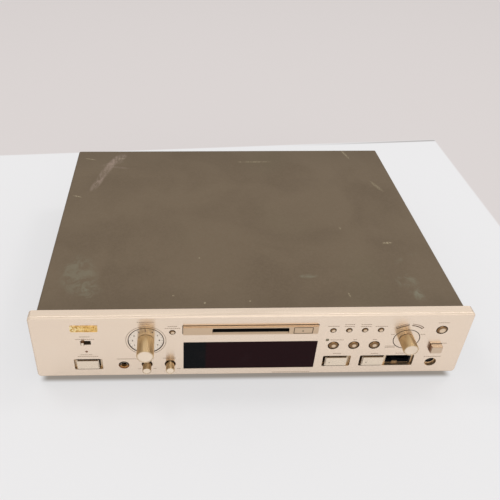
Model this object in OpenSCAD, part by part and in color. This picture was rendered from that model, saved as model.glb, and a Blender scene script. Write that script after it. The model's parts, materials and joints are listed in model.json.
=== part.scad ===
// Minidisc deck: full-width hi-fi separate with a slot-loading disc mechanism.
// Millimetres. +Z is up and the front faces -Y.
// The origin is the middle of the underside of the whole deck's box.

/* [Case] */
// Width of the front panel
panel_w = 435; // [415:1:540]
// Height of the front panel
panel_h = 86.1; // [84:0.1:110]
// Thickness of the front panel's face
panel_t = 4; // [3:0.1:5]
// Depth of the rim that turns back round the front panel
rim_d = 10.4; // [8:0.1:14]
// Thickness of the front panel's rim
rim_t = 3; // [2:0.1:4]
// Radius of the front panel's corners, seen from the front
panel_corner_r = 4; // [3:0.1:6]
// Radius of the front panel's front edge
panel_edge_r = 2; // [0.5:0.1:2.8]
// Distance that the front panel stands out past the cover on each side
cover_inset = 7.5; // [4:0.5:12]
// Length of the steel cover behind the front panel
cover_d = 302; // [280:1:380]
// Thickness of the case's sheet steel
sheet_t = 1; // [0.8:0.1:1.5]
// Outer radius of the cover's top bends
cover_bend_r = 3; // [2:0.1:6]
// Height of the feet under the panel's bottom edge
foot_h = 8; // [6:0.5:16]
// Diameter of a foot
foot_dia = 38; // [30:1:50]

/* [Cartridge slot] */
// Distance of the slot's middle from the deck's middle, to the right
slot_x = -1.4; // [-5:0.1:5]
// Height of the slot's middle above the panel's bottom edge
slot_z = 67.9; // [64:0.1:69]
// Width of the slot
slot_w = 75.2; // [74:0.1:78]
// Height of the slot
slot_h = 5.6; // [5.3:0.1:6.4]
// Width of the slot's surround
bezel_w = 132.7; // [125:0.1:140]
// Height of the slot's surround
bezel_h = 10.8; // [10.6:0.1:13]
// Distance that the surround stands out in front of the panel's face
bezel_reach = 2.5; // [1.6:0.1:3.5]
// Gap between the surround and the panel
bezel_gap = 0.6; // [0.2:0.1:1]
// Width of a disc cartridge
cartridge_w = 72; // [70:0.5:74]
// Length of a disc cartridge
cartridge_d = 68; // [66:0.5:72]
// Thickness of a disc cartridge
cartridge_t = 5; // [4.5:0.1:5.2]

/* [Display] */
// Width of the display window
window_w = 134.1; // [120:0.1:140]
// Height of the display window
window_h = 39.7; // [34:0.1:40]
// Height of the display window's middle above the panel's bottom edge
window_z = 30; // [28:0.1:34]

/* [Keys] */
// Width of an oblong key's cap
key_w = 22.4; // [18:0.1:24]
// Height of an oblong key's cap
key_h = 13.4; // [11:0.1:15]
// Reach of an oblong key in front of the panel
key_reach = 1; // [0:0.1:1.5]
// Free space beside an oblong key in its guide
guide_gap = 1; // [0.3:0.1:1.2]
// Free space above and below an oblong key in its guide
guide_rise = 1; // [0.3:0.1:1.1]
// Free space at each end of an oblong key's well
well_margin = 3.2; // [2:0.1:4]
// Height of the play, pause and stop keys' middle
key_row_z = 19.4; // [17:0.1:22]
// Travel of an oblong key
key_travel = 1; // [0.5:0.1:1.3]
// Travel of a round, curved or eject key
small_travel = 0.8; // [0.4:0.1:1]
// Travel of the square push cap
block_travel = 2.5; // [1:0.1:3]
// Diameter of a medium round key's cap
round_key_dia = 9.2; // [7:0.1:10]
// Diameter of the hole round a medium round key
round_hole_dia = 11.4; // [10.5:0.1:13]
// Diameter of a small key's cap
small_key_dia = 5; // [4:0.1:5.6]
// Diameter of the hole round a small key
small_hole_dia = 6.5; // [6.2:0.1:8]
// Pitch of the row of four small keys
small_key_pitch = 15.77; // [13:0.1:17]
// Pitch of the row of three medium round keys
round_key_pitch = 20.75; // [16:0.1:21]
// Width of the square push cap
block_w = 11.6; // [9:0.1:12]
// Height of the square push cap
block_h = 9.6; // [8:0.1:12]
// Reach of the square push cap in front of the panel
block_reach = 4.6; // [3.2:0.1:6]
// Inner radius of the curved keys' openings
arc_in_r = 18.8; // [17:0.1:19]
// Outer radius of the curved keys' openings
arc_out_r = 21.8; // [21:0.1:23]
// Angle that a curved key's opening spans
arc_span = 36; // [25:1:40]

/* [Knobs] */
// Diameter of the level knob
level_dia = 16.8; // [14:0.1:20]
// Reach of the level knob in front of the panel
level_reach = 20.5; // [14:0.1:24]
// Radius of the dial recess behind the level knob
dial_r = 17.8; // [15:0.1:20]
// Depth of the dial recess
dial_depth = 1; // [0.6:0.1:1.6]
// Diameter of the two small knobs
small_knob_dia = 8.8; // [7.6:0.1:9.4]
// Diameter of the holes round the small knobs
small_knob_hole_dia = 11.3; // [10.6:0.1:12]
// Reach of the two small knobs in front of the panel
small_knob_reach = 9; // [6:0.1:12]
// Diameter of the jog knob
jog_dia = 14.8; // [12:0.1:17]
// Reach of the jog knob in front of the panel
jog_reach = 14.8; // [10:0.1:18]
// Radius of the fine groove round the jog knob
jog_ring_r = 13.1; // [12:0.1:15]

/* [Sockets] */
// Bore of the headphone socket
phones_bore = 6.4; // [6.3:0.01:6.6]
// Diameter of the round keyboard socket's hole
socket_dia = 12; // [11:0.1:13]
// Barrel diameter of a phono jack
phono_dia = 8.3; // [8.2:0.01:8.4]
// Reach of the phono jacks behind the case
phono_reach = 8.1; // [7:0.1:10]

/* [Disc mechanism] */
// Drop of the cartridge holder as it loads
drop = 4; // [3:0.1:4.5]
// Stroke of the loading slide
load_stroke = 12; // [10:0.1:13]
// Travel of the pickup along its rods
pickup_travel = 13; // [10:0.1:14]
// Diameter of the guide rods
rod_dia = 3; // [2.5:0.1:3.5]
// Diameter of the lead screw
screw_dia = 2.4; // [2:0.1:3]
// Module of the loading gear and its rack
gear_module = 1; // [0.8:0.1:1]
// Teeth of the loading gear
gear_teeth = 12; // [12:1:14]

/* [Fits] */
// Free space round a moving piece
clear = 0.3; // [0.25:0.01:0.4]
// Free space round a piece that is fitted and stays
snug = 0.1; // [0.05:0.01:0.2]
// Free radius of a shaft in its bearing
running = 0.05; // [0.02:0.01:0.09]

/* [Hidden] */

$fn = 64;
cut = 1;  // how far a cutting shape runs past a face

// Finishes
champagne = [0.87, 0.80, 0.71];
cover_grey = [0.42, 0.38, 0.32];
zinc = [0.72, 0.73, 0.72];
black = [0.08, 0.08, 0.09];
smoke = [0.12, 0.09, 0.11];
taupe = [0.70, 0.62, 0.52];
gold = [0.86, 0.68, 0.34];
board_green = [0.16, 0.36, 0.22];
nickel = [0.80, 0.80, 0.78];
sand = [0.80, 0.71, 0.58];
copper = [0.72, 0.42, 0.24];

// The deck's box: the level knob is its front and the phono jacks are its back
deck_d = level_reach + rim_d + cover_d + phono_reach;
face_y = level_reach - deck_d / 2;
floor_z = foot_h;
left_x = -panel_w / 2;
right_x = panel_w / 2;
back_y = rim_d + cover_d;
cover_w = panel_w - 2 * cover_inset;
cover_top = panel_h;
cover_in_w = cover_w - 2 * sheet_t;

// Depths behind the panel's face
sub_y = panel_t;
sub_t = 2;
sub_back = sub_y + sub_t;
guide_back = 9;
arc_sink = 0.3;
flange_t = 1;
board_t = 1.6;
switch_h = 3.5;
plunger_h = 0.8;
board_y = 17;
plunger_y = board_y - switch_h - plunger_h;

// Heights above the panel's bottom edge
tray_z = 1.5;
tray_top = tray_z + sheet_t;
main_board_z = tray_top + 9.5;

// Places of the controls, measured from the panel's left and right edges
badge_x = left_x + 53.3;
badge_z = 70.8;
badge_w = 26.8;
badge_h = 8.2;
badge_t = 0.6;
power_x = left_x + 53.3;
power_z = 18.8;
play_x = right_x - 128.1;
pause_x = right_x - 90;
stop_x = right_x - 62.8;
latch_w = 5.6;
latch_h = 2.6;
latch_x = stop_x - 2.2;
latch_z = key_row_z - key_h / 2 - guide_rise + 0.9;
well_shift = 0.5;
well_h = key_h + 2.2;
timer_x = left_x + 53.55;
timer_z = 50.8;
timer_slot_w = 10.3;
timer_slot_h = 5.6;
timer_lever_w = 3.2;
timer_lever_h = 5;
timer_reach = 2.2;
timer_travel = timer_slot_w - timer_lever_w - 2 * 0.75;
lamp_places = [[left_x + 53.4, 37.9, 2.6], [right_x - 141, 51.1, 3.4]];
level_x = left_x + 113.2;
level_z = 52.9;
phones_x = left_x + 89.7;
phones_z = 16.9;
phones_hole_r = phones_bore / 2 + 2.3;
left_knob_x = left_x + 113.3;
right_knob_x = left_x + 136.9;
small_knob_z = 17.8;
monitor_x = left_x + 139.5;
monitor_z = 64.5;
small_row_x = right_x - 137;
small_row_z = 64.7;
round_row_x = right_x - 133.9;
round_row_z = 42.9;
jog_x = right_x - 61.5;
jog_z = 51.1;
side_x = right_x - 28.6;
side_z = 63.8;
side_key_dia = 9.6;
side_hole_dia = 11.6;
block_x = right_x - 29.6;
block_z = 38.9;
socket_x = right_x - 29.3;
socket_z = 16.3;
eject_x = slot_x + 51.6;
eject_w = 18.4;
eject_h = 8;
bezel_x = slot_x + 0.15;
bezel_z = slot_z + 0.1;
bezel_flange_t = 1.2;
bezel_back = sub_back + bezel_flange_t;
back_arc_mid = 112;
next_arc_mid = 67;

// Round keys: place, cap diameter, hole diameter, reach in front of the face
record_place = [round_row_x, round_row_z, round_key_dia, round_hole_dia, 0];
menu_place = [round_row_x + round_key_pitch, round_row_z, round_key_dia, round_hole_dia, 0];
enter_place = [round_row_x + 2 * round_key_pitch, round_row_z, round_key_dia, round_hole_dia, 0];
monitor_place = [monitor_x, monitor_z, small_key_dia, small_hole_dia, 0.3];
side_place = [side_x, side_z, side_key_dia, side_hole_dia, 0.2];
function small_place(i) =
    [small_row_x + i * small_key_pitch, small_row_z, small_key_dia, small_hole_dia, 0.3];
round_keys = concat([record_place, menu_place, enter_place, monitor_place, side_place],
    [for (i = [0:3]) small_place(i)]);
oblong_wells = [[power_x, power_z], [play_x, key_row_z], [pause_x, key_row_z], [stop_x, key_row_z]];

// Disc mechanism: its own middle lies behind the slot
wall = 1.2;
pin_r = 1;
drive_front = 20.5;
disc_x = slot_x;
holder_gap = 0.4;
holder_in_w = cartridge_w + 2 * holder_gap;
holder_in_h = cartridge_t + 2 * holder_gap;
holder_wall = 0.8;
holder_w = holder_in_w + 2 * holder_wall;
holder_front = drive_front + 0.5;
holder_d = cartridge_d + 2;
disc_y = holder_front + cartridge_d / 2 + 2;
holder_z = slot_z - holder_in_h / 2 - holder_wall;
holder_top = slot_z + holder_in_h / 2 + holder_wall;
base_z = 48;
base_top = base_z + wall;
base_left = disc_x - 52;
base_right = disc_x + 64;
base_back = disc_y + 56;
motor_h = 5;
motor_r = 12.5;
rod_z = base_top + 5.3;
rod_spread = 12;
rod_left = disc_x + 13.6;
rod_right = disc_x + 59;
sled_w = 20;
sled_half_d = 15.5;
sled_x = disc_x + 14.2;
sled_top = rod_z + 4.5;
screw_y = disc_y + 18.5;
screw_left = disc_x - 22;
slide_x = holder_w / 2 + 1.2;
slide_front = holder_front - 6.5;
slide_d = 75.5;
slide_z = holder_z - 1.5;
slide_top = holder_top + 0.4 + wall;
side_wall_x = slide_x + wall + 0.6;
pin_y = [disc_y - 27, disc_y + 27];
pin_z = slot_z;
gear_pitch_r = gear_module * gear_teeth / 2;
gear_thick = 2.4;
rack_teeth = 9;
rack_z = slide_top - 4;
gear_x = disc_x - slide_x - wall - gear_pitch_r - 0.75 * gear_module - clear;
gear_y = slide_front + 42;
post_x = disc_x + 52;
post_w = 5;
arm_z = slide_top + 7;
head_z = slide_top - 1.2;
head_w = 5;
arm_pin_r = 0.8;

// A box between two heights, two depths behind the face and two places across
module block(x0, x1, y0, y1, z0, z1)
    translate([x0, face_y + y0, floor_z + z0])
        cube([x1 - x0, y1 - y0, z1 - z0]);

module bar_x(x0, x1, y, z, r)
    translate([x0, face_y + y, floor_z + z])
        rotate([0, 90, 0])
            cylinder(r = r, h = x1 - x0);

module bar_z(x, y, z0, z1, r)
    translate([x, face_y + y, floor_z + z0])
        cylinder(r = r, h = z1 - z0);

// Children stand on the panel's face: +Z points out of the face, +Y up
module on_face(x, z)
    translate([x, face_y, floor_z + z])
        rotate([90, 0, 0])
            children();

// A round piece on the face, from a reach in front of it to a depth behind it
module peg(r, front, back)
    translate([0, 0, -back])
        cylinder(r = r, h = front + back);

module rounded(w, h, r) {
    square([w - 2 * r, h], center = true);
    square([w, h - 2 * r], center = true);
    for (sx = [-1, 1], sy = [-1, 1])
        translate([sx * (w / 2 - r), sy * (h / 2 - r)])
            circle(r);
}

// A rounded oblong piece on the face
module tablet(w, h, r, front, back)
    translate([0, 0, -back])
        linear_extrude(front + back)
            rounded(w, h, r);

// A tablet whose front edges are cut back at 45 degrees in one small step
module soft_tablet(w, h, r, front, back, soft) {
    tablet(w, h, r, front - soft, back);
    tablet(w - 2 * soft, h - 2 * soft, r - soft / 2, front, back);
}

// A ring sector for the curved keys and their openings
module sector(r_in, r_out, middle, span)
    intersection() {
        difference() {
            circle(r_out);
            circle(r_in);
        }
        polygon([[0, 0], for (a = [-1, -0.5, 0, 0.5, 1])
            2 * r_out * [cos(middle + a * span / 2), sin(middle + a * span / 2)]]);
    }

module arc_key(middle) {
    on_face(jog_x, jog_z) {
        play = asin(clear / arc_in_r);
        translate([0, 0, -guide_back])
            linear_extrude(guide_back - arc_sink)
                sector(arc_in_r + clear, arc_out_r - clear, middle, arc_span - 2 * play);
        translate([0, 0, -sub_back - clear - flange_t])
            linear_extrude(flange_t)
                sector(arc_in_r - 0.8, arc_out_r + 1.2, middle, arc_span + 3);
        rotate(middle)
            translate([(arc_in_r + arc_out_r) / 2, 0, 0])
                peg(1.4, -guide_back, plunger_y - small_travel - clear);
    }
}

// A round key: cap, retaining flange and the stem that presses its switch
module round_key(place) {
    cap_r = place[2] / 2;
    dome = 0.5;
    on_face(place[0], place[1]) {
        rotate_extrude()
            polygon([[0, place[4] + dome], [cap_r * 0.55, place[4] + dome * 0.75],
                [cap_r * 0.9, place[4] + dome * 0.15], [cap_r, place[4] - 0.25],
                [cap_r, -guide_back], [0, -guide_back]]);
        peg(cap_r + 1, -guide_back + 0.5, guide_back + flange_t);
        peg(1.6, -guide_back, plunger_y - small_travel - clear);
    }
}

// An oblong key: cap, retaining flange and stem
module oblong_key(x, z)
    on_face(x, z) {
        soft_tablet(key_w, key_h, 1, key_reach, guide_back + 0.5, 0.8);
        tablet(key_w + 2 * guide_gap + 1, key_h + 2 * guide_rise + 1, 1, -guide_back - clear,
            guide_back + clear + flange_t);
        peg(2, -guide_back, plunger_y - key_travel - clear);
    }

// A turned knob pushed on a shaft, which is a solid of its own in the knob's blind bore
module knob(dia, reach, back, shaft_r, shaft_back, edge) {
    bore_front = reach - 4;
    difference() {
        rotate_extrude()
            polygon([[0, reach - 0.3], [dia / 2 - 2.2 * edge, reach - 0.3],
                [dia / 2 - 1.6 * edge, reach], [dia / 2 - edge, reach],
                [dia / 2, reach - edge], [dia / 2, -back], [0, -back]]);
        peg(shaft_r + running, bore_front, back + cut);
    }
    peg(shaft_r, bore_front - running, shaft_back);
}

// Front

module panel_blank() {
    w = panel_w;
    h = panel_h;
    c = panel_corner_r;
    e = panel_edge_r;
    on_face(0, h / 2) {
        translate([0, 0, -rim_d])
            linear_extrude(rim_d - e) {
                square([w - 2 * c, h], center = true);
                square([w, h - 2 * c], center = true);
            }
        translate([0, 0, -e])
            linear_extrude(e) {
                square([w - 2 * c, h - 2 * e], center = true);
                square([w - 2 * e, h - 2 * c], center = true);
            }
        for (s = [-1, 1]) {
            translate([0, s * (h / 2 - e), -e])
                rotate([0, 90, 0])
                    cylinder(r = e, h = w - 2 * c, center = true);
            translate([s * (w / 2 - e), 0, -e])
                rotate([90, 0, 0])
                    cylinder(r = e, h = h - 2 * c, center = true);
            for (t = [-1, 1])
                translate([s * (w / 2 - c), t * (h / 2 - c), -rim_d])
                    rotate_extrude() {
                        square([c, rim_d - e]);
                        square([c - e, rim_d]);
                        intersection() {
                            translate([c - e, rim_d - e])
                                circle(e);
                            square([c, rim_d]);
                        }
                    }
        }
    }
}

module front_panel()
    color(champagne)
        difference() {
            panel_blank();
            on_face(0, panel_h / 2)
                translate([0, 0, -rim_d - cut])
                    linear_extrude(rim_d - panel_t + cut)
                        square([panel_w - 2 * rim_t, panel_h - 2 * rim_t], center = true);
            through = panel_t + cut;
            for (well = [oblong_wells[0], oblong_wells[1]])
                on_face(well[0] + well_shift, well[1])
                    tablet(key_w + 2 * well_margin, well_h, 1.5, cut, through);
            on_face((pause_x + stop_x) / 2 + well_shift, key_row_z)
                tablet(stop_x - pause_x + key_w + 2 * well_margin, well_h, 1.5, cut, through);
            on_face(0, window_z)
                tablet(window_w + 2 * snug, window_h + 2 * snug, 0.6, cut, through);
            on_face(bezel_x, bezel_z)
                tablet(bezel_w + 2 * bezel_gap, bezel_h + 2 * bezel_gap, 0.6, cut, through);
            on_face(timer_x, timer_z)
                tablet(timer_slot_w, timer_slot_h, 0.5, cut, through);
            for (lamp = lamp_places)
                on_face(lamp[0], lamp[1])
                    peg(lamp[2] / 2 + snug, cut, through);
            for (key = round_keys)
                on_face(key[0], key[1])
                    peg(key[3] / 2, cut, through);
            on_face(level_x, level_z) {
                peg(dial_r, cut, dial_depth);
                peg(4, cut, through);
            }
            for (x = [left_knob_x, right_knob_x])
                on_face(x, small_knob_z)
                    peg(small_knob_hole_dia / 2, cut, through);
            on_face(phones_x, phones_z)
                peg(phones_hole_r, cut, through);
            on_face(jog_x, jog_z) {
                peg(4, cut, through);
                translate([0, 0, -0.5])
                    linear_extrude(0.5 + cut)
                        difference() {
                            circle(jog_ring_r + 0.25);
                            circle(jog_ring_r - 0.25);
                        }
                translate([0, 0, -through])
                    linear_extrude(through + cut)
                        for (middle = [back_arc_mid, next_arc_mid])
                            sector(arc_in_r, arc_out_r, middle, arc_span);
            }
            on_face(block_x, block_z)
                tablet(block_w + 2 * clear, block_h + 2 * clear, 0.8, cut, through);
            on_face(socket_x, socket_z)
                peg(socket_dia / 2, cut, through);
        }

// Moulded carrier: closes the wells, guides the keys and holds the display and sockets
module sub_panel()
    color(sand)
        difference() {
            union() {
                on_face(0, panel_h / 2)
                    tablet(panel_w - 2 * rim_t - 2 * snug, panel_h - 2 * rim_t - 2 * snug, 1,
                        -sub_y, sub_back);
                for (well = oblong_wells)
                    on_face(well[0], well[1])
                        tablet(key_w + 2 * guide_gap + 2, key_h + 2 * guide_rise + 2, 1.2, -sub_y,
                            guide_back);
                for (key = round_keys)
                    on_face(key[0], key[1])
                        peg(key[2] / 2 + clear + 0.8, -sub_y, guide_back - 0.8);
                // what is left of the latch of the missing key
                on_face(latch_x, latch_z)
                    tablet(latch_w, latch_h, 0.3, -sub_y - 0.1, guide_back);
            }
            for (well = oblong_wells)
                on_face(well[0], well[1])
                    difference() {
                        tablet(key_w + 2 * guide_gap, key_h + 2 * guide_rise, 1.2, cut,
                            guide_back + cut);
                        if (well[0] == stop_x)
                            translate([latch_x - stop_x, latch_z - key_row_z, 0])
                                tablet(latch_w, latch_h, 0.3, cut, guide_back + 2 * cut);
                    }
            for (key = round_keys)
                on_face(key[0], key[1])
                    peg(key[2] / 2 + clear, cut, guide_back + cut);
            on_face(0, window_z)
                tablet(window_w - 20, window_h - 11, 1, cut, sub_back + cut);
            on_face(bezel_x, bezel_z)
                tablet(bezel_w + 2 * snug, bezel_h + 2 * snug, 0.6, cut, sub_back + cut);
            on_face(timer_x, timer_z)
                tablet(timer_slot_w, timer_slot_h, 0.5, cut, sub_back + cut);
            for (lamp = lamp_places)
                on_face(lamp[0], lamp[1])
                    peg(lamp[2] / 2 + snug, cut, sub_back + cut);
            for (place = [[level_x, level_z], [jog_x, jog_z]])
                on_face(place[0], place[1])
                    peg(4, cut, sub_back + cut);
            for (x = [left_knob_x, right_knob_x])
                on_face(x, small_knob_z)
                    peg(small_knob_dia / 2 + 0.6, cut, sub_back + cut);
            on_face(phones_x, phones_z)
                peg(phones_hole_r, cut, sub_back + cut);
            on_face(jog_x, jog_z)
                translate([0, 0, -sub_back - cut])
                    linear_extrude(sub_back + 2 * cut)
                        for (middle = [back_arc_mid, next_arc_mid])
                            sector(arc_in_r, arc_out_r, middle, arc_span);
            on_face(block_x, block_z)
                tablet(block_w + 2 * clear, block_h + 2 * clear, 0.8, cut, sub_back + cut);
            on_face(socket_x, socket_z)
                peg(5.2, cut, sub_back + cut);
        }

module display_window()
    color(smoke)
        on_face(0, window_z)
            tablet(window_w, window_h, 0.5, -0.3, sub_y);

module display_tube()
    color(black)
        on_face(0, window_z) {
            tablet(window_w - 14, window_h - 7, 1, -sub_back, sub_back + 5);
            for (i = [-12:12])
                translate([i * 4, -window_h / 2 + 4.5, 0])
                    peg(0.4, -sub_back - 5, board_y);
        }

module slot_bezel()
    color(taupe)
        difference() {
            union() {
                on_face(bezel_x, bezel_z) {
                    soft_tablet(bezel_w, bezel_h, 0.5, bezel_reach, bezel_back, 0.4);
                    tablet(bezel_w + 5, bezel_h + 3, 0.5, -sub_back, bezel_back);
                }
                for (s = [-1, 1])
                    block(shutter_ear(s) - 0.75, shutter_ear(s) + 0.75, sub_back + 0.5, shutter_y + 2,
                        shutter_z - 2, shutter_z + 2);
            }
            on_face(slot_x, slot_z) {
                tablet(slot_w, slot_h, 0.4, bezel_reach + cut, bezel_back + cut);
                // the mouth widens towards the front
                rotate([0, 90, 0])
                    linear_extrude(slot_w - 0.8, center = true)
                        polygon([[-bezel_reach - cut, slot_h / 2 + mouth_h],
                            [-bezel_reach, slot_h / 2 + mouth_h],
                            [mouth_d - bezel_reach, slot_h / 2 - 0.01],
                            [mouth_d - bezel_reach, 0.01 - slot_h / 2],
                            [-bezel_reach, -slot_h / 2 - mouth_h],
                            [-bezel_reach - cut, -slot_h / 2 - mouth_h]]);
            }
            on_face(eject_x, slot_z)
                tablet(eject_w + 2 * clear, eject_h + 2 * clear, 0.9, bezel_reach + cut, bezel_back + cut);
            for (s = [-1, 1])
                bar_x(shutter_ear(s) - 2, shutter_ear(s) + 2, shutter_y, shutter_z,
                    shutter_rod_r + running);
        }

// Depth of the slot's mouth and how far it opens up and down
mouth_d = 1.5;
mouth_h = 0.9;
shutter_w = slot_w + 0.8;
shutter_y = bezel_back + 2;
shutter_z = slot_z + slot_h / 2 + 2.3;
shutter_rod_r = 0.8;
function shutter_ear(s) = slot_x + s * (shutter_w / 2 + clear + 0.75);

// Flap that closes the slot; it hangs on a rod and swings inward
module slot_shutter()
    color(black) {
        block(slot_x - shutter_w / 2, slot_x + shutter_w / 2, shutter_y - 0.6, shutter_y + 0.4,
            slot_z - slot_h / 2 - 0.8, shutter_z);
        bar_x(shutter_ear(-1) - 0.75, shutter_ear(1) + 0.75, shutter_y, shutter_z, shutter_rod_r);
    }

// Plain gold plate with a raised rim and a fine bar across it
module badge_plate()
    color(gold)
        on_face(badge_x, badge_z) {
            difference() {
                tablet(badge_w, badge_h, 1.2, badge_t, 0);
                tablet(badge_w - 1.4, badge_h - 1.4, 0.8, badge_t + cut, -0.35);
            }
            tablet(badge_w - 4.8, 0.8, 0.3, badge_t - 0.05, 0);
        }

module level_dial()
    color(nickel)
        on_face(level_x, level_z)
            difference() {
                peg(dial_r - 0.4, -0.25, dial_depth);
                peg(4, cut, dial_depth + cut);
            }

module lamp_lenses()
    color(copper)
        for (lamp = lamp_places)
            on_face(lamp[0], lamp[1]) {
                peg(lamp[2] / 2, -0.3, sub_back);
                peg(lamp[2] / 2 + 0.8, -sub_back, board_y);
            }

module phones_jack()
    color(black) {
        difference() {
            on_face(phones_x, phones_z) {
                peg(phones_hole_r - snug, -2.5, sub_back);
                peg(phones_bore / 2 + 1.1, -0.6, 2.5);
                tablet(16, 16, 0.5, -sub_back, 32);
            }
            on_face(phones_x, phones_z)
                peg(phones_bore / 2, cut, 30);
        }
    }

module keyboard_socket()
    color(black)
        on_face(socket_x, socket_z) {
            difference() {
                union() {
                    peg(5.1, -sub_y - 1, sub_back);
                    tablet(14, 14, 0.5, -sub_back, board_y);
                }
                for (a = [-120:60:120])
                    rotate(a + 90)
                        translate([2.7, 0, 0])
                            peg(0.5, 0, board_y - 3);
                difference() {
                    peg(4.7, 0, board_y - 5);
                    peg(3.7, cut, board_y);
                }
            }
        }

// Case

module sheet_arch(w, h, r) {
    translate([-w / 2, 0])
        square([w, h - r]);
    translate([-w / 2 + r, 0])
        square([w - 2 * r, h]);
    for (s = [-1, 1])
        translate([s * (w / 2 - r), h - r])
            circle(r);
}

cover_bottom = 3;
cover_front = rim_d + snug;
cover_lip = 12;
side_screw_y = [rim_d + 45, back_y - 45];
side_screw_z = 14;
rear_screw_x = [-cover_w / 2 + 25, 0, cover_w / 2 - 25];
rear_screw_z = cover_top - 7;

module top_cover()
    color(cover_grey)
        difference() {
            union() {
                translate([0, face_y + back_y, floor_z + cover_bottom])
                    rotate([90, 0, 0])
                        linear_extrude(back_y - cover_front)
                            difference() {
                                sheet_arch(cover_w, cover_top - cover_bottom, cover_bend_r);
                                translate([0, -cut])
                                    sheet_arch(cover_in_w, cover_top - cover_bottom - sheet_t + cut,
                                        cover_bend_r - sheet_t);
                            }
                block(-cover_in_w / 2 + cover_bend_r, cover_in_w / 2 - cover_bend_r,
                    back_y - sheet_t, back_y, cover_top - cover_lip, cover_top - sheet_t);
            }
            for (y = side_screw_y)
                bar_x(-cover_w / 2 - cut, cover_w / 2 + cut, y, side_screw_z, 1.6);
            for (x = rear_screw_x)
                on_face(x, rear_screw_z)
                    peg(1.6, -back_y + sheet_t + cut, back_y + cut);
        }

tray_w = cover_in_w;
tray_front = guide_back + 6.5;
tray_back = back_y - 2 * sheet_t;
foot_x = cover_w / 2 - 45;
foot_y = [rim_d + 35, back_y - 45];
foot_screw_r = 2;
board_screw_r = 1.25;
main_board_box = [-90, cover_w / 2 - 8, 128, back_y - 12];
power_board_box = [-cover_w / 2 + 8, -98, 150, back_y - 12];
transformer_box = [-cover_w / 2 + 22, -cover_w / 2 + 84, 60, 116];

function corners(box, inset) = [for (x = [box[0] + inset, box[1] - inset],
    y = [box[2] + inset, box[3] - inset]) [x, y]];
pillar_places = concat(corners(main_board_box, 6), corners(power_board_box, 6));

module chassis_tray()
    color(zinc)
        difference() {
            union() {
                block(-tray_w / 2, tray_w / 2, cover_front, tray_back, tray_z, tray_top);
                for (s = [0, 1])
                    mirror([s, 0, 0])
                        block(tray_w / 2 - sheet_t, tray_w / 2, tray_front, tray_back, tray_z, 26);
                block(-tray_w / 2, tray_w / 2, cover_front, cover_front + sheet_t, tray_z, 8);
            }
            for (x = [-foot_x, foot_x], y = foot_y)
                bar_z(x, y, tray_z - cut, tray_top + cut, foot_screw_r + snug);
            for (y = side_screw_y)
                bar_x(-cover_w / 2 - cut, cover_w / 2 + cut, y, side_screw_z, 1.6);
        }

phono_x = [-cover_w / 2 + 62, -cover_w / 2 + 76];
phono_z = [34, 54];
plug_room = 1;  // free space for a plug's sleeve round a phono jack
optical_x = [-cover_w / 2 + 120, -cover_w / 2 + 138, -cover_w / 2 + 156];
optical_z = 44;
inlet_x = cover_w / 2 - 48;
inlet_z = 40;
rear_y = back_y - sheet_t;

module rear_panel()
    color(cover_grey)
        difference() {
            block(-tray_w / 2 + 2, tray_w / 2 - 2, tray_back, rear_y, tray_z, cover_top - sheet_t);
            for (x = phono_x, z = phono_z)
                on_face(x, z)
                    peg(phono_dia / 2 + plug_room, -tray_back + cut, back_y);
            for (x = optical_x)
                on_face(x, optical_z)
                    tablet(10.4, 10.4, 0.3, -tray_back + cut, back_y);
            on_face(inlet_x, inlet_z)
                tablet(19.4, 12.4, 1, -tray_back + cut, back_y);
            for (x = rear_screw_x)
                on_face(x, rear_screw_z)
                    peg(1.6, -tray_back + cut, back_y);
        }

module feet()
    color(black)
        for (x = [-foot_x, foot_x], y = foot_y)
            translate([x, face_y + y, 0])
                difference() {
                    rotate_extrude()
                        polygon([[0, 0], [foot_dia / 2 - 3, 0], [foot_dia / 2 - 1.5, 1.5],
                            [foot_dia / 2, foot_h + tray_z - 1], [foot_dia / 2 - 1, foot_h + tray_z],
                            [0, foot_h + tray_z]]);
                    translate([0, 0, -cut])
                        cylinder(r = 5, h = cut + 4.5);
                    translate([0, 0, -cut])
                        cylinder(r = foot_screw_r + snug, h = foot_h + tray_z + 2 * cut);
                }

module screw(r, head_r, head_h, length) {
    difference() {
        cylinder(r = head_r, h = head_h);
        for (a = [0, 90])
            rotate(a)
                translate([-head_r * 0.6, -0.35, head_h - 0.7])
                    cube([head_r * 1.2, 0.7, 1]);
    }
    translate([0, 0, -length])
        cylinder(r = r, h = length);
}

module case_screws()
    color(nickel) {
        for (s = [-1, 1], y = side_screw_y)
            translate([s * cover_w / 2, face_y + y, floor_z + side_screw_z])
                rotate([0, s * 90, 0])
                    screw(1.5, 3.6, 1.8, 6);
        for (x = rear_screw_x)
            translate([x, face_y + back_y, floor_z + rear_screw_z])
                rotate([-90, 0, 0])
                    screw(1.5, 3, 1.6, 6);
        for (x = [-foot_x, foot_x], y = foot_y)
            translate([x, face_y + y, 4.5])
                rotate([180, 0, 0])
                    screw(foot_screw_r, 4, 2.5, foot_h + tray_z - 4.5 + 3);
        for (place = pillar_places)
            translate([place[0], face_y + place[1], floor_z + main_board_z + board_t])
                screw(board_screw_r, 2.6, 1.6, 6);
    }

// Inside the case

module circuit_board(box, z)
    difference() {
        block(box[0], box[1], box[2], box[3], z, z + board_t);
        for (place = corners(box, 6))
            bar_z(place[0], place[1], z - cut, z + board_t + cut, board_screw_r + snug);
    }

module main_board()
    color(board_green) {
        circuit_board(main_board_box, main_board_z);
        for (chip = [[-30, 190, 24, 24], [40, 200, 14, 20], [95, 180, 20, 14], [60, 250, 10, 30],
                [140, 230, 18, 18]])
            block(chip[0] - chip[2] / 2, chip[0] + chip[2] / 2, chip[1] - chip[3] / 2,
                chip[1] + chip[3] / 2, main_board_z + board_t, main_board_z + board_t + 2.4);
    }

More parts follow.
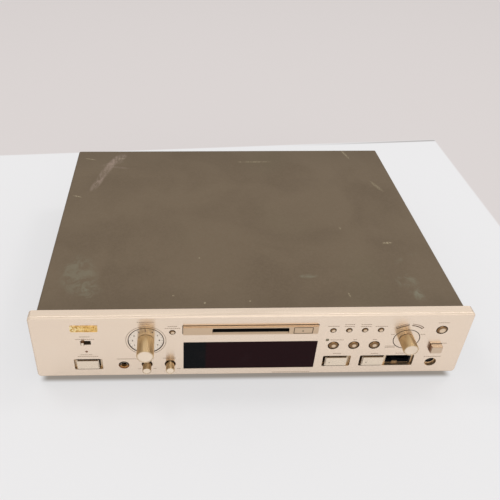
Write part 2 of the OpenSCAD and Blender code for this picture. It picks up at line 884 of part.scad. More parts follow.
module power_board()
    color(board_green) {
        circuit_board(power_board_box, main_board_z);
        block(power_board_box[0] + 14, power_board_box[0] + 60, 170, 173,
            main_board_z + board_t, main_board_z + 36);
        for (i = [0:6])
            block(power_board_box[0] + 15 + i * 7, power_board_box[0] + 16.2 + i * 7, 173, 186,
                main_board_z + board_t, main_board_z + 36);
    }

module board_pillars()
    color(nickel)
        for (place = pillar_places)
            difference() {
                bar_z(place[0], place[1], tray_top, main_board_z, 3);
                bar_z(place[0], place[1], tray_top + 1, main_board_z + cut, board_screw_r + snug);
            }

// Place across, depth, radius and height of each capacitor
can_places = concat([for (i = [0:2]) [power_board_box[0] + 26 + i * 24, 215, 9, 30]],
    [for (i = [0:3]) [power_board_box[0] + 20 + i * 18, 250, 5, 20]],
    [for (i = [0:5]) [-70 + i * 20, 285, 4, 12]],
    [for (i = [0:4]) [10 + i * 26, 150, 3.2, 11]]);

module capacitors()
    color(black)
        for (can = can_places)
            bar_z(can[0], can[1], main_board_z + board_t, main_board_z + board_t + can[3], can[2]);

// Laminated core with its winding between two cheeks
module transformer()
    color(copper) {
        x0 = transformer_box[0];
        x1 = transformer_box[1];
        y0 = transformer_box[2];
        y1 = transformer_box[3];
        mid = (x0 + x1) / 2;
        top = tray_top + 44;
        difference() {
            union() {
                block(x0, x1, y0 + 12, y1 - 12, tray_top + 1.5, top);
                block(x0 - 8, x1 + 8, y0 + 8, y1 - 8, tray_top, tray_top + 1.5);
            }
            for (s = [-1, 1])
                block(mid + s * 15 - 6, mid + s * 15 + 6, y0, y1, tray_top + 10, top - 9);
        }
        difference() {
            block(mid - 20.5, mid + 20.5, y0 + 2, y1 - 2, tray_top + 10.5, top - 9.5);
            block(mid - 9.5, mid + 9.5, y0 + 11.5, y1 - 11.5, tray_top + 5, top);
            for (s = [-1, 1])
                block(mid + s * 22 - 1.2, mid + s * 22 + 1.2, y0, y1, tray_top, top);
        }
    }

key_board_left = left_x + 16;
key_board_right = right_x - 16;
key_board_z = [9, 77];
notch_half = slot_w / 2 + 2.4;
key_board_notch_z = base_z - 2;

module key_board()
    color(board_green)
        difference() {
            block(key_board_left, key_board_right, board_y, board_y + board_t, key_board_z[0],
                key_board_z[1]);
            block(slot_x - notch_half, slot_x + notch_half, board_y - cut, board_y + board_t + cut,
                key_board_notch_z, key_board_z[1] + cut);
            for (place = [[level_x, level_z, 3.3], [jog_x, jog_z, 3.3], [left_knob_x, small_knob_z, 2.3],
                    [right_knob_x, small_knob_z, 2.3]])
                on_face(place[0], place[1])
                    peg(place[2], 0, board_y + board_t + cut);
            on_face(phones_x, phones_z)
                tablet(16.4, 16.4, 0.5, 0, board_y + board_t + cut);
        }

switch_places = concat([for (key = round_keys) [key[0], key[1]]], oblong_wells,
    [[eject_x, slot_z]], [for (m = [back_arc_mid, next_arc_mid])
        [jog_x + (arc_in_r + arc_out_r) / 2 * cos(m), jog_z + (arc_in_r + arc_out_r) / 2 * sin(m)]]);
timer_body_front = sub_back + 1.6;

module front_switches()
    color(black) {
        for (place = switch_places)
            on_face(place[0], place[1]) {
                tablet(6, 6, 0.4, -board_y + switch_h, board_y);
                peg(1.7, -plunger_y, board_y - switch_h);
            }
        // body of the timer switch, with a trough for its lever's foot
        on_face(timer_x, timer_z)
            difference() {
                tablet(timer_slot_w + 8, 9, 0.4, -timer_body_front, board_y);
                tablet(timer_slot_w, 4, 0.3, 0, timer_body_front + 3);
            }
        // body of the latching switch behind the square cap
        on_face(block_x, block_z)
            difference() {
                tablet(9, 9, 0.4, -sub_back - 5, board_y);
                tablet(5 + 2 * clear, 5 + 2 * clear, 0.4, 0, board_y - 1.2);
            }
    }

pot_bush_front = dial_depth + 0.5;

// Rotary controls: body, threaded bush and bearing bore of each
module control_pots()
    color(nickel) {
        for (place = [[level_x, level_z, 18], [jog_x, jog_z, 15]])
            on_face(place[0], place[1])
                difference() {
                    union() {
                        tablet(place[2], place[2], 1, -sub_back, board_y);
                        peg(3.8, -pot_bush_front, sub_back);
                    }
                    peg(3 + running, cut, board_y + cut);
                }
        for (x = [left_knob_x, right_knob_x])
            on_face(x, small_knob_z)
                difference() {
                    tablet(12, 12, 1, -sub_back - 2, board_y);
                    peg(2 + running, cut, board_y + cut);
                }
    }

module phono_jacks()
    color(black) {
        block(phono_x[0] - 8, phono_x[1] + 8, tray_back - 12, tray_back, main_board_z + board_t,
            phono_z[1] + 9);
        for (x = phono_x, z = phono_z)
            on_face(x, z)
                difference() {
                    peg(phono_dia / 2, -tray_back, back_y + phono_reach);
                    peg(1.6, -back_y, back_y + phono_reach + cut);
                }
    }

module optical_sockets()
    color(black) {
        block(optical_x[0] - 7, optical_x[2] + 7, tray_back - 10, tray_back, main_board_z + board_t,
            optical_z + 7);
        for (x = optical_x)
            on_face(x, optical_z)
                difference() {
                    tablet(10, 10, 0.3, -tray_back, back_y + 1);
                    tablet(7, 7, 1.2, -back_y, back_y + 1 + cut);
                }
    }

module mains_inlet()
    color(black) {
        difference() {
            union() {
                on_face(inlet_x, inlet_z) {
                    tablet(19, 12, 1, -tray_back, rear_y);
                    tablet(28, 16, 2, -rear_y, rear_y + 2);
                }
                block(inlet_x - 12, inlet_x + 12, tray_back - 14, tray_back,
                    main_board_z + board_t, inlet_z + 8);
            }
            on_face(inlet_x, inlet_z)
                tablet(14.6, 8.6, 4.2, -rear_y + 10, rear_y + 2 + cut);
        }
        for (s = [-1, 1])
            on_face(inlet_x + s * 4.3, inlet_z)
                peg(1.2, -rear_y + 11, rear_y);
    }

// A flat cable: a strip that bends through two right angles
module ribbon(x, w, y0, z0, y1, z1, r) {
    t = 0.5;
    translate([x, face_y, floor_z])
        rotate([90, 0, 90])
            linear_extrude(w) {
                translate([y0, z1 + r])
                    square([t, z0 - z1 - r]);
                translate([y0 + r, z1])
                    square([y1 - y0 - r, t]);
                intersection() {
                    translate([y0 + r, z1 + r])
                        difference() {
                            circle(r);
                            circle(r - t);
                        }
                    translate([y0, z1])
                        square(r);
                }
            }
}

module ribbon_cables()
    color(nickel) {
        ribbon(disc_x - 20, 22, base_back + 0.5, base_z + 4, 140, main_board_z + 6, 5);
        ribbon(96, 26, board_y + board_t, 16, 136, 7, 2);
        block(disc_x - 20, disc_x + 2, 134, 140, main_board_z + board_t, main_board_z + 6);
        block(96, 122, 132, 136, 7.5, main_board_z);
    }

// Disc mechanism

module drive_brackets()
    color(zinc)
        for (s = [0, 1])
            translate([disc_x, 0, 0])
                mirror([s, 0, 0]) {
                    block(50, 50 + wall, drive_front + 4, base_back - 4, tray_top, base_z);
                    block(40, 50, drive_front + 4, base_back - 4, base_z - wall, base_z);
                    block(50, 60, drive_front + 4, drive_front + 24, tray_top, tray_top + wall);
                    block(50, 60, base_back - 24, base_back - 4, tray_top, tray_top + wall);
                }

module drive_base()
    color(zinc) {
        difference() {
            block(base_left, base_right, drive_front, base_back, base_z, base_top);
            block(sled_x + 2, sled_x + 30, disc_y - 9, disc_y + 9, base_z - cut, base_top + cut);
        }
        // side walls with upright slots that keep the holder's pins in line
        for (s = [-1, 1], y = pin_y)
            difference() {
                x0 = disc_x + s * (side_wall_x + wall / 2);
                block(x0 - wall / 2, x0 + wall / 2, y - 4, y + 4, base_top, slide_top);
                block(x0 - wall, x0 + wall, y - pin_r - clear, y + pin_r + clear, pin_z - drop,
                    pin_z);
                for (z = [pin_z - drop, pin_z])
                    bar_x(x0 - wall, x0 + wall, y, z, pin_r + clear);
            }
        // ends that hold the guide rods and the lead screw
        for (x = [rod_left - 2, rod_right - 2])
            difference() {
                union() {
                    for (s = [-1, 1])
                        block(x, x + 2, disc_y + s * rod_spread - 3, disc_y + s * rod_spread + 3,
                            base_top, rod_z + 3);
                    if (x > disc_x + 30)
                        block(x, x + 2, screw_y - 2.6, screw_y + 2.6, base_top, rod_z + 3);
                }
                for (s = [-1, 1])
                    bar_x(x - cut, x + 2 + cut, disc_y + s * rod_spread, rod_z, rod_dia / 2);
                bar_x(x - cut, x + 2 + cut, screw_y, rod_z, screw_dia / 2 + running);
            }
        // rails that carry the loading slide
        for (s = [-1, 1], y = [disc_y - 34, disc_y + 24.5]) {
            x0 = disc_x + s * (slide_x + wall / 2 + 0.2);
            block(x0 - 1.2, x0 + 1.2, y, y + 6, base_top, slide_z - clear);
        }
        // post of the loading gear
        bar_z(gear_x, gear_y, base_top, rack_z - 0.3, 3);
        bar_z(gear_x, gear_y, base_top, rack_z + gear_thick + 1, 1);
    }

module guide_rods()
    color(nickel)
        for (s = [-1, 1])
            bar_x(rod_left - 2, rod_right, disc_y + s * rod_spread, rod_z, rod_dia / 2);

screw_motor_r = 5;

module drive_motors()
    color(nickel) {
        difference() {
            bar_z(disc_x, disc_y, base_top, base_top + motor_h, motor_r);
            bar_z(disc_x, disc_y, base_top + 0.8, base_top + motor_h + cut, 1 + running);
        }
        difference() {
            union() {
                bar_x(screw_left - 14, screw_left, screw_y, rod_z, screw_motor_r);
                block(screw_left - 12, screw_left - 2, screw_y - 4, screw_y + 4, base_top, rod_z);
            }
            bar_x(screw_left - 6, screw_left + cut, screw_y, rod_z, screw_dia / 2 + running);
        }
        // loading motor, at the left of the base
        block(base_left, base_left + 10, gear_y - 24, gear_y - 8, base_top, base_top + 10);
    }

module turntable()
    color(nickel) {
        bar_z(disc_x, disc_y, base_top + 1, holder_z - drop + 2.6, 1);
        bar_z(disc_x, disc_y, base_top + motor_h + 0.6, holder_z - drop + 0.4, 8);
        bar_z(disc_x, disc_y, base_top + motor_h + 1, holder_z - drop + 1.8, 4.5);
    }

module lead_screw()
    color(nickel)
        bar_x(screw_left - 5, rod_right, screw_y, rod_z, screw_dia / 2);

// Optical pickup on its sled: slides on the rods, driven by the lead screw
module pickup_sled()
    color(black)
        difference() {
            union() {
                block(sled_x, sled_x + sled_w, disc_y - sled_half_d, disc_y + sled_half_d, rod_z - 3,
                    sled_top);
                bar_z(sled_x + 3.5, disc_y, sled_top, sled_top + 0.6, 2.2);
                block(sled_x + 6, sled_x + 12, disc_y + sled_half_d, screw_y + 2.6, rod_z - 2.6,
                    rod_z + 2.6);
                // upright that carries the record arm past the cartridge
                block(post_x - post_w / 2, post_x + post_w / 2, disc_y - 6, disc_y + 6, rod_z - 3,
                    arm_z - 2.2);
                block(sled_x + sled_w - 1, post_x, disc_y - 6, disc_y + 6, rod_z - 3, rod_z + 1);
                for (s = [-1, 1])
                    block(post_x - post_w / 2, post_x + post_w / 2, disc_y + s * 5 - 1,
                        disc_y + s * 5 + 1, arm_z - 3, arm_z + 1.8);
            }
            for (s = [-1, 1])
                bar_x(sled_x - cut, sled_x + sled_w + cut, disc_y + s * rod_spread, rod_z,
                    rod_dia / 2 + running);
            bar_x(sled_x + 5, sled_x + 13, screw_y, rod_z, screw_dia / 2 + running);
            translate([post_x, face_y + disc_y - 8, floor_z + arm_z])
                rotate([-90, 0, 0])
                    cylinder(r = arm_pin_r + running, h = 16);
        }

// Arm with the magnetic head: hinged on the sled's upright, it reaches over the cartridge
module record_arm()
    color(zinc) {
        block(sled_x + 3, post_x + 1.4, disc_y - 3.6, disc_y + 3.6, arm_z - 0.4, arm_z + 0.6);
        block(sled_x, sled_x + head_w, disc_y - 3.5, disc_y + 3.5, head_z, arm_z + 0.6);
        translate([post_x, face_y + disc_y - 6, floor_z + arm_z])
            rotate([-90, 0, 0])
                cylinder(r = arm_pin_r, h = 12);
    }

// Teeth of a flat spur shape with slack between them
module spur_2d(teeth, m) {
    pitch_r = m * teeth / 2;
    circle(pitch_r - 1.1 * m);
    for (i = [0:teeth - 1])
        rotate(i * 360 / teeth)
            polygon([[pitch_r - 1.3 * m, -0.8 * m], [pitch_r - 0.1 * m, -0.6 * m],
                [pitch_r + 0.75 * m, -0.22 * m], [pitch_r + 0.75 * m, 0.22 * m],
                [pitch_r - 0.1 * m, 0.6 * m], [pitch_r - 1.3 * m, 0.8 * m]]);
}

module loading_gear()
    color(taupe)
        translate([gear_x, face_y + gear_y, floor_z + rack_z])
            difference() {
                linear_extrude(gear_thick)
                    spur_2d(gear_teeth, gear_module);
                translate([0, 0, -cut])
                    cylinder(r = 1 + running, h = gear_thick + 2 * cut);
            }

// Slide with slanted slots: as it runs back it draws the holder's pins down
module loading_slide()
    color(taupe) {
        slot_angle = atan2(drop, load_stroke);
        for (s = [-1, 1]) {
            x0 = disc_x + s * (slide_x + wall / 2);
            difference() {
                block(x0 - wall / 2, x0 + wall / 2, slide_front, slide_front + slide_d, slide_z,
                    slide_top);
                for (y = pin_y)
                    translate([x0, face_y + y, floor_z + pin_z])
                        rotate([180 + slot_angle, 0, 0]) {
                            length = sqrt(drop * drop + load_stroke * load_stroke);
                            for (d = [0, length])
                                translate([-wall, d, 0])
                                    rotate([0, 90, 0])
                                        cylinder(r = pin_r + clear, h = 2 * wall);
                            translate([-wall, 0, -pin_r - clear])
                                cube([2 * wall, length, 2 * (pin_r + clear)]);
                        }
            }
        }
        block(disc_x - slide_x - wall, disc_x + slide_x + wall, slide_front + slide_d - 5,
            slide_front + slide_d, slide_top - wall, slide_top);
        // rack on the left plate
        pitch = PI * gear_module;
        rack_x = gear_x + gear_pitch_r;
        plate_x = disc_x - slide_x - wall;
        for (i = [-2:rack_teeth - 3])
            translate([rack_x, face_y + gear_y - (i + 0.5) * pitch, floor_z + rack_z])
                linear_extrude(gear_thick)
                    polygon([[plate_x - rack_x + 0.2, -0.3 * pitch], [-0.75 * gear_module, -0.06 * pitch],
                        [-0.75 * gear_module, 0.06 * pitch], [plate_x - rack_x + 0.2, 0.3 * pitch]]);
    }

// Shell that takes the cartridge; open in front, with a window under the disc
module cartridge_holder()
    color(zinc) {
        x0 = disc_x - holder_w / 2;
        x1 = disc_x + holder_w / 2;
        difference() {
            block(x0, x1, holder_front, holder_front + holder_d, holder_z, holder_top);
            block(x0 + holder_wall, x1 - holder_wall, holder_front - cut,
                holder_front + holder_d - holder_wall, holder_z + holder_wall,
                holder_top - holder_wall);
            block(disc_x - 11, x1 - 2, disc_y - 16.5, disc_y + 16.5, holder_z - cut,
                holder_z + holder_wall + cut);
            block(disc_x + 8, x1 - 2, disc_y - 8, disc_y + 8, holder_top - holder_wall - cut,
                holder_top + cut);
        }
        for (s = [-1, 1], y = pin_y) {
            inner = holder_w / 2 - holder_wall / 2;
            outer = side_wall_x + wall;
            bar_x(disc_x + (s < 0 ? -outer : inner), disc_x + (s < 0 ? -inner : outer), y, pin_z,
                pin_r);
        }
    }

// Keys and knobs

module power_key() color(champagne) oblong_key(power_x, power_z);
module play_key() color(champagne) oblong_key(play_x, key_row_z);
module pause_key() color(champagne) oblong_key(pause_x, key_row_z);
module record_key() color(champagne) round_key(record_place);
module menu_key() color(champagne) round_key(menu_place);
module enter_key() color(champagne) round_key(enter_place);
module small_key(i) color(champagne) round_key(small_place(i));
module monitor_key() color(champagne) round_key(monitor_place);
module side_key() color(champagne) round_key(side_place);
module back_key() color(champagne) arc_key(back_arc_mid);
module next_key() color(champagne) arc_key(next_arc_mid);

module eject_key()
    color(taupe)
        on_face(eject_x, slot_z) {
            soft_tablet(eject_w, eject_h, 0.7, bezel_reach, bezel_back + clear + 0.5, 0.3);
            tablet(eject_w + 1, eject_h + 2, 0.5, -bezel_back - clear, bezel_back + clear + flange_t);
            peg(1.6, -bezel_back, plunger_y - small_travel - clear);
        }

module block_key()
    color(champagne)
        on_face(block_x, block_z) {
            soft_tablet(block_w, block_h, 1, block_reach, sub_back + clear + 0.5, 0.5);
            tablet(block_w + 2, block_h + 1.6, 0.8, -sub_back - clear, sub_back + clear + flange_t);
            tablet(5, 5, 0.5, -sub_back, board_y - 1.2 - block_travel - clear);
        }

// Lever of the timer switch, at the left end of its slot
module timer_slider()
    color(champagne)
        on_face(timer_x - timer_slot_w / 2 + 0.75 + timer_lever_w / 2, timer_z) {
            soft_tablet(timer_lever_w, timer_lever_h, 0.5, timer_reach, sub_back, 0.4);
            tablet(timer_lever_w - 1, 3, 0.3, -sub_back, timer_body_front + 2.6);
        }

module level_knob()
    color(gold)
        on_face(level_x, level_z)
            knob(level_dia, level_reach, -0.2, 3, board_y, 0.6);

module small_knob(x)
    color(gold)
        on_face(x, small_knob_z)
            knob(small_knob_dia, small_knob_reach, sub_back, 2, board_y, 0.4);

module left_small_knob() small_knob(left_knob_x);
module right_small_knob() small_knob(right_knob_x);

module jog_knob()
    color(gold)
        on_face(jog_x, jog_z)
            knob(jog_dia, jog_reach, -0.5, 3, board_y, 0.6);

front_panel();
sub_panel();
display_window();
display_tube();
slot_bezel();
badge_plate();
level_dial();
lamp_lenses();
phones_jack();
keyboard_socket();
top_cover();
chassis_tray();
rear_panel();
feet();
case_screws();
main_board();
power_board();
board_pillars();
capacitors();
transformer();
key_board();
front_switches();
control_pots();
phono_jacks();
optical_sockets();
mains_inlet();
ribbon_cables();
drive_brackets();
drive_base();
guide_rods();
drive_motors();
turntable();
pickup_sled();
lead_screw();
record_arm();
loading_slide();
loading_gear();
cartridge_holder();
slot_shutter();
power_key();
play_key();
pause_key();
eject_key();
record_key();
menu_key();
enter_key();
small_key(0);  // small_key_1
small_key(1);  // small_key_2
small_key(2);  // small_key_3
small_key(3);  // small_key_4
monitor_key();
side_key();
back_key();
next_key();
block_key();
timer_slider();
level_knob();
left_small_knob();
right_small_knob();
jog_knob();
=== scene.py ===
import json
import math

import bmesh
import bpy
from mathutils import Matrix, Vector


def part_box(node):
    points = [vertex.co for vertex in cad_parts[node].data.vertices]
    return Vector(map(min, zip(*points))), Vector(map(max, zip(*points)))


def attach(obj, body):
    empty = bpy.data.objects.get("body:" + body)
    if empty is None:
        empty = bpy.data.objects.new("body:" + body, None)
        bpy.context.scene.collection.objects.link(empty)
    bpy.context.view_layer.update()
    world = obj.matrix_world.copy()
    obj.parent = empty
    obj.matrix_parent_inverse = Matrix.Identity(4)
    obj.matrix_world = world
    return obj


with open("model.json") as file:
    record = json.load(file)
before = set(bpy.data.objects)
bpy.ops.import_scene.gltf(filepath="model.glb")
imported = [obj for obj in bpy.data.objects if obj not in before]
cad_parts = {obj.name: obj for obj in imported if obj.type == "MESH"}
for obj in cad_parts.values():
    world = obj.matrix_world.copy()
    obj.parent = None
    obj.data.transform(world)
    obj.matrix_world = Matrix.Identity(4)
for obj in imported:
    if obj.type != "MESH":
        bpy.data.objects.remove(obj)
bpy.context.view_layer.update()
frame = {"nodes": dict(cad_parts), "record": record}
nodes = frame["nodes"]
mm = 0.001

panelLow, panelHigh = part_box("front_panel")
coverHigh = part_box("top_cover")[1]
faceY = panelLow.y
panelBottom = panelLow.z
coverTop = coverHigh.z
print("frame loaded:", len(nodes), "nodes")


def centre(name):
    # middle of a node seen from the front, as x and z
    low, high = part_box(name)
    return (low.x + high.x) / 2, (low.z + high.z) / 2


def capBox(name):
    # sides of what stands out of the panel: low and high x, low and high z
    proud = 0.3 * mm
    out = [v.co for v in nodes[name].data.vertices if v.co.y < faceY - proud]
    across, up = [c.x for c in out], [c.z for c in out]
    return min(across), max(across), min(up), max(up)


class Value:
    # a socket that can stand in a sum with numbers and other sockets

    def __init__(self, graph, socket):
        self.graph = graph
        self.socket = socket

    def calc(self, operation, first, second=0.5):
        return self.graph.node("ShaderNodeMath", {"operation": operation}, {0: first, 1: second})

    def __add__(self, other):
        return self.calc("ADD", self, other)

    def __radd__(self, other):
        return self.calc("ADD", other, self)

    def __sub__(self, other):
        return self.calc("SUBTRACT", self, other)

    def __rsub__(self, other):
        return self.calc("SUBTRACT", other, self)

    def __mul__(self, other):
        return self.calc("MULTIPLY", self, other)

    def __rmul__(self, other):
        return self.calc("MULTIPLY", other, self)

    def __truediv__(self, other):
        return self.calc("DIVIDE", self, other)

    def __pow__(self, other):
        return self.calc("POWER", self, other)

    def size(self):
        return self.calc("ABSOLUTE", self)

    def wave(self):
        return self.calc("SINE", self)

    def least(self, other):
        return self.calc("MINIMUM", self, other)

    def most(self, other):
        return self.calc("MAXIMUM", self, other)

    def bearing(self, other):
        # angle round an axis, from two distances across it
        return self.calc("ARCTAN2", self, other)


class Graph:
    # a node tree that is filled one node at a time

    def __init__(self, tree):
        self.tree = tree
        tree.nodes.clear()

    def node(self, kind, settings=None, values=None, out=0):
        made = self.tree.nodes.new(kind)
        for key, setting in (settings or {}).items():
            if key == "stops":
                self.setStops(made.color_ramp.elements, setting)
            else:
                setattr(made, key, setting)
        for key, value in (values or {}).items():
            if isinstance(value, Value):
                self.tree.links.new(value.socket, made.inputs[key])
            else:
                made.inputs[key].default_value = value
        return Value(self, made.outputs[out]) if made.outputs else None

    def setStops(self, stops, wanted):
        while len(stops) < len(wanted):
            stops.new(0.5)
        for stop, (position, colour) in zip(stops, wanted):
            stop.position = position
            stop.color = (*colour, 1.0)

    def split(self, vector):
        parts = self.node("ShaderNodeSeparateXYZ", values={0: vector}).socket.node.outputs
        return [Value(self, parts[k]) for k in ("X", "Y", "Z")]


class Paint(Graph):
    # one material and the nodes that make it

    def __init__(self, name):
        self.material = bpy.data.materials.new(name)
        self.material.use_nodes = True
        super().__init__(self.material.node_tree)
        self.place = self.node("ShaderNodeTexCoord", out="Object")
        self.x, self.y, self.z = self.split(self.place)

    def normals(self):
        # which way the surface faces, in the deck's own axes
        return self.split(self.node("ShaderNodeTexCoord", out="Normal"))

    def fade(self, value, low, high):
        # 0 at low and 1 at high, smooth between them
        return self.node("ShaderNodeMapRange", {"interpolation_type": "SMOOTHSTEP"},
                         {0: value, 1: low, 2: high, 3: 0.0, 4: 1.0})

    def band(self, value, low, high, soft):
        return self.fade(value, low - soft, low + soft) * (1.0 - self.fade(value, high - soft, high + soft))

    def inside(self, box, grow, soft):
        # 1 inside a rectangle in x and z that is grown on every side
        x0, x1, z0, z1 = box
        return self.band(self.x, x0 - grow, x1 + grow, soft) * self.band(self.z, z0 - grow, z1 + grow, soft)

    def stretched(self, x, y, z):
        return self.node("ShaderNodeVectorMath", {"operation": "MULTIPLY"}, {0: self.place, 1: (x, y, z)})

    def noise(self, scale, detail=3.0, rough=0.55, at=None, bend=0.0):
        return self.node("ShaderNodeTexNoise", None, {
            "Vector": at or self.place, "Scale": scale, "Detail": detail,
            "Roughness": rough, "Distortion": bend})

    def mix(self, factor, first, second):
        values = {0: factor}
        for key, colour in ((6, first), (7, second)):
            values[key] = colour if isinstance(colour, Value) else (*colour, 1.0)
        return self.node("ShaderNodeMix", {"data_type": "RGBA"}, values, out=2)

    def bump(self, height, strength, distance):
        return self.node("ShaderNodeBump", None, {
            "Height": height, "Strength": strength, "Distance": distance})

    def radius(self, x, z):
        # distance from an axis that runs along Y
        across = self.x - x
        up = self.z - z
        return (across * across + up * up) ** 0.5

    def spot(self, x, back, wide, deep, turn):
        # 1 in the middle of an ellipse on the cover's top, 0 outside it, in millimetres and degrees
        c, s = math.cos(math.radians(turn)), math.sin(math.radians(turn))
        x, y = self.x - x * mm, self.y - (faceY + back * mm)
        across = (x * c + y * s) / (wide * mm)
        along = (y * c - x * s) / (deep * mm)
        return 1.0 - self.fade(across * across + along * along, 0.1, 1.0)

    def spots(self, marks):
        # several spots together, each with its own strength
        total = 0.0
        for *place, strength in marks:
            total = self.spot(*place) * strength + total
        return total

    def surface(self, base, rough, metal=0.0, normal=None, coat=0.0, fixed=None):
        values = {"Base Color": base if isinstance(base, Value) else (*base, 1.0),
                  "Roughness": rough, "Metallic": metal, "Coat Weight": coat}
        if normal:
            values["Normal"] = normal
        values.update(fixed or {})
        return self.node("ShaderNodeBsdfPrincipled", None, values)

    def finish(self, shader):
        self.node("ShaderNodeOutputMaterial", None, {"Surface": shader})
        return self.material

    def shade(self, *looks, **more):
        return self.finish(self.surface(*looks, **more))


# Camera, from the deck's own corners in the photograph; its place is measured from the panel's face
cameraFit = {
    "place": (-0.0727, -0.39022, 0.50714),
    "pitchDown": 33.542,
    "yaw": -1.543,
    "roll": 0.559,
    "focalPixels": 577.3,
    "centrePixels": (190.01, 182.56),
    "framePixels": 500,
    "sensor": 36.0,
}


def makeCamera():
    fit = cameraFit
    side = fit["framePixels"]
    data = bpy.data.cameras.new("camera")
    data.sensor_fit = "HORIZONTAL"
    data.sensor_width = fit["sensor"]
    data.lens = fit["focalPixels"] / side * fit["sensor"]
    data.shift_x = (side / 2 - fit["centrePixels"][0]) / side
    data.shift_y = (fit["centrePixels"][1] - side / 2) / side
    data.clip_start = 0.01
    data.clip_end = 30
    camera = bpy.data.objects.new("camera", data)
    bpy.context.scene.collection.objects.link(camera)
    turn = (Matrix.Rotation(math.radians(fit["yaw"]), 4, "Z")
            @ Matrix.Rotation(math.radians(90 - fit["pitchDown"]), 4, "X")
            @ Matrix.Rotation(math.radians(fit["roll"]), 4, "Z"))
    camera.matrix_world = Matrix.Translation(Vector(fit["place"]) + Vector((0, faceY, 0))) @ turn
    bpy.context.scene.camera = camera
    bpy.context.scene.view_settings.view_transform = "Standard"


# Light: a bright room, two soft boxes overhead and a soft fill in front
roomLight = {
    "aim": (0.0, 0.0, 0.05),
    "left": {"place": (-0.70, 0.35, 1.6), "size": (0.38, 0.38), "power": 5.0},
    "right": {"place": (0.95, 0.35, 1.6), "size": (0.38, 0.38), "power": 5.3},
    "front": {"place": (0.3, -2.3, 1.1), "size": (1.8, 1.2), "power": 17.0},
    "room": [(0.0, 0.28), (0.45, 0.84), (0.72, 0.84), (1.0, 0.58)],  # brightness from level to straight up
    "lean": 0.10,  # how much brighter the room is on the right than in the middle
}


def softBox(name, box):
    data = bpy.data.lights.new(name, "AREA")
    data.shape = "RECTANGLE"
    data.size, data.size_y = box["size"]
    data.energy = box["power"]
    lamp = bpy.data.objects.new(name, data)
    bpy.context.scene.collection.objects.link(lamp)
    lamp.location = box["place"]
    way = Vector(roomLight["aim"]) - Vector(box["place"])
    lamp.rotation_euler = way.to_track_quat("-Z", "Y").to_euler()


def makeLight():
    for name in ("left", "right", "front"):
        softBox(name, roomLight[name])
    world = bpy.data.worlds.new("room")
    bpy.context.scene.world = world
    world.use_nodes = True
    room = Graph(world.node_tree)
    right, _, up = room.split(room.node("ShaderNodeTexCoord", out="Generated"))
    stops = [(height, (level, level * 0.99, level * 0.98)) for height, level in roomLight["room"]]
    tone = room.node("ShaderNodeValToRGB", {"stops": stops}, {0: up})
    strength = right * roomLight["lean"] + 1.0
    light = room.node("ShaderNodeBackground", None, {"Color": tone, "Strength": strength})
    room.node("ShaderNodeOutputWorld", None, {"Surface": light})


# Floor: a pale bench that ends behind the deck and on its right; lengths in metres
bench = {
    "paper": (0.835, 0.83, 0.84),
    "cloudy": (0.80, 0.795, 0.80),
    "beyond": (0.70, 0.655, 0.645),  # past the bench's edges
    "shadedSeam": (0.33, 0.30, 0.29),  # painted shade just inside the back edge, darker towards the corner
    "seamInside": (0.005, 0.001),
    "seamAcross": (0.10, 0.38),
    "shade": (0.24, 0.195, 0.15),  # painted shadow on the floor beneath the deck
    "backEdge": 0.335,
    "backSlope": 0.065,
    "rightEdge": 0.391,
    "soft": 0.002,
    "ownLight": 0.70,  # share of its own colour that shows, which lifts the shadow
    "half": 4.0,
}


def floorPaper():
    b = bench
    p = Paint("floorPaper")
    tone = p.mix(p.noise(0.9, 2), b["paper"], b["cloudy"])
    back = p.y - p.x * b["backSlope"]
    pastRight = p.fade(p.x, b["rightEdge"] - b["soft"], b["rightEdge"] + b["soft"])
    pastBack = p.fade(back, b["backEdge"] - b["soft"], b["backEdge"] + b["soft"])
    tone = p.mix(pastBack.most(pastRight), tone, b["beyond"])
    # painted shade along the bench's back edge
    seamFrom, seamTo = (b["backEdge"] - inside for inside in b["seamInside"])
    shadedSeam = p.band(back, seamFrom, seamTo, b["soft"]) * p.fade(p.x, *b["seamAcross"]) * (1.0 - pastRight)
    tone = p.mix(shadedSeam * 0.8, tone, b["shadedSeam"])
    # painted shadow on the floor beneath the deck
    under = (p.band(p.x, panelLow.x + 4 * mm, panelHigh.x - 4 * mm, 5 * mm)
             * p.band(p.y, faceY + 1.2 * mm, coverHigh.y - 6 * mm, 3 * mm))
    tone = p.mix(under * 0.8, tone, b["shade"])
    paper = p.surface(tone, 0.65, fixed={"Specular IOR Level": 0.25})
    glow = p.node("ShaderNodeEmission", None, {"Color": tone, "Strength": 1.0})
    seen = 0.0
    for ray in ("Is Camera Ray", "Is Glossy Ray", "Is Transmission Ray"):
        seen = p.node("ShaderNodeLightPath", out=ray) + seen
    share = seen.least(1.0) * b["ownLight"]
    return p.finish(p.node("ShaderNodeMixShader", None, {0: share, 1: paper, 2: glow}))


def makeFloor():
    half = bench["half"]
    mesh = bpy.data.meshes.new("floor")
    mesh.from_pydata([(-half, -half, 0), (half, -half, 0), (half, half, 0), (-half, half, 0)], [],
                     [(0, 1, 2, 3)])
    mesh.materials.append(floorPaper())
    floor = bpy.data.objects.new("floor", mesh)
    bpy.context.scene.collection.objects.link(floor)


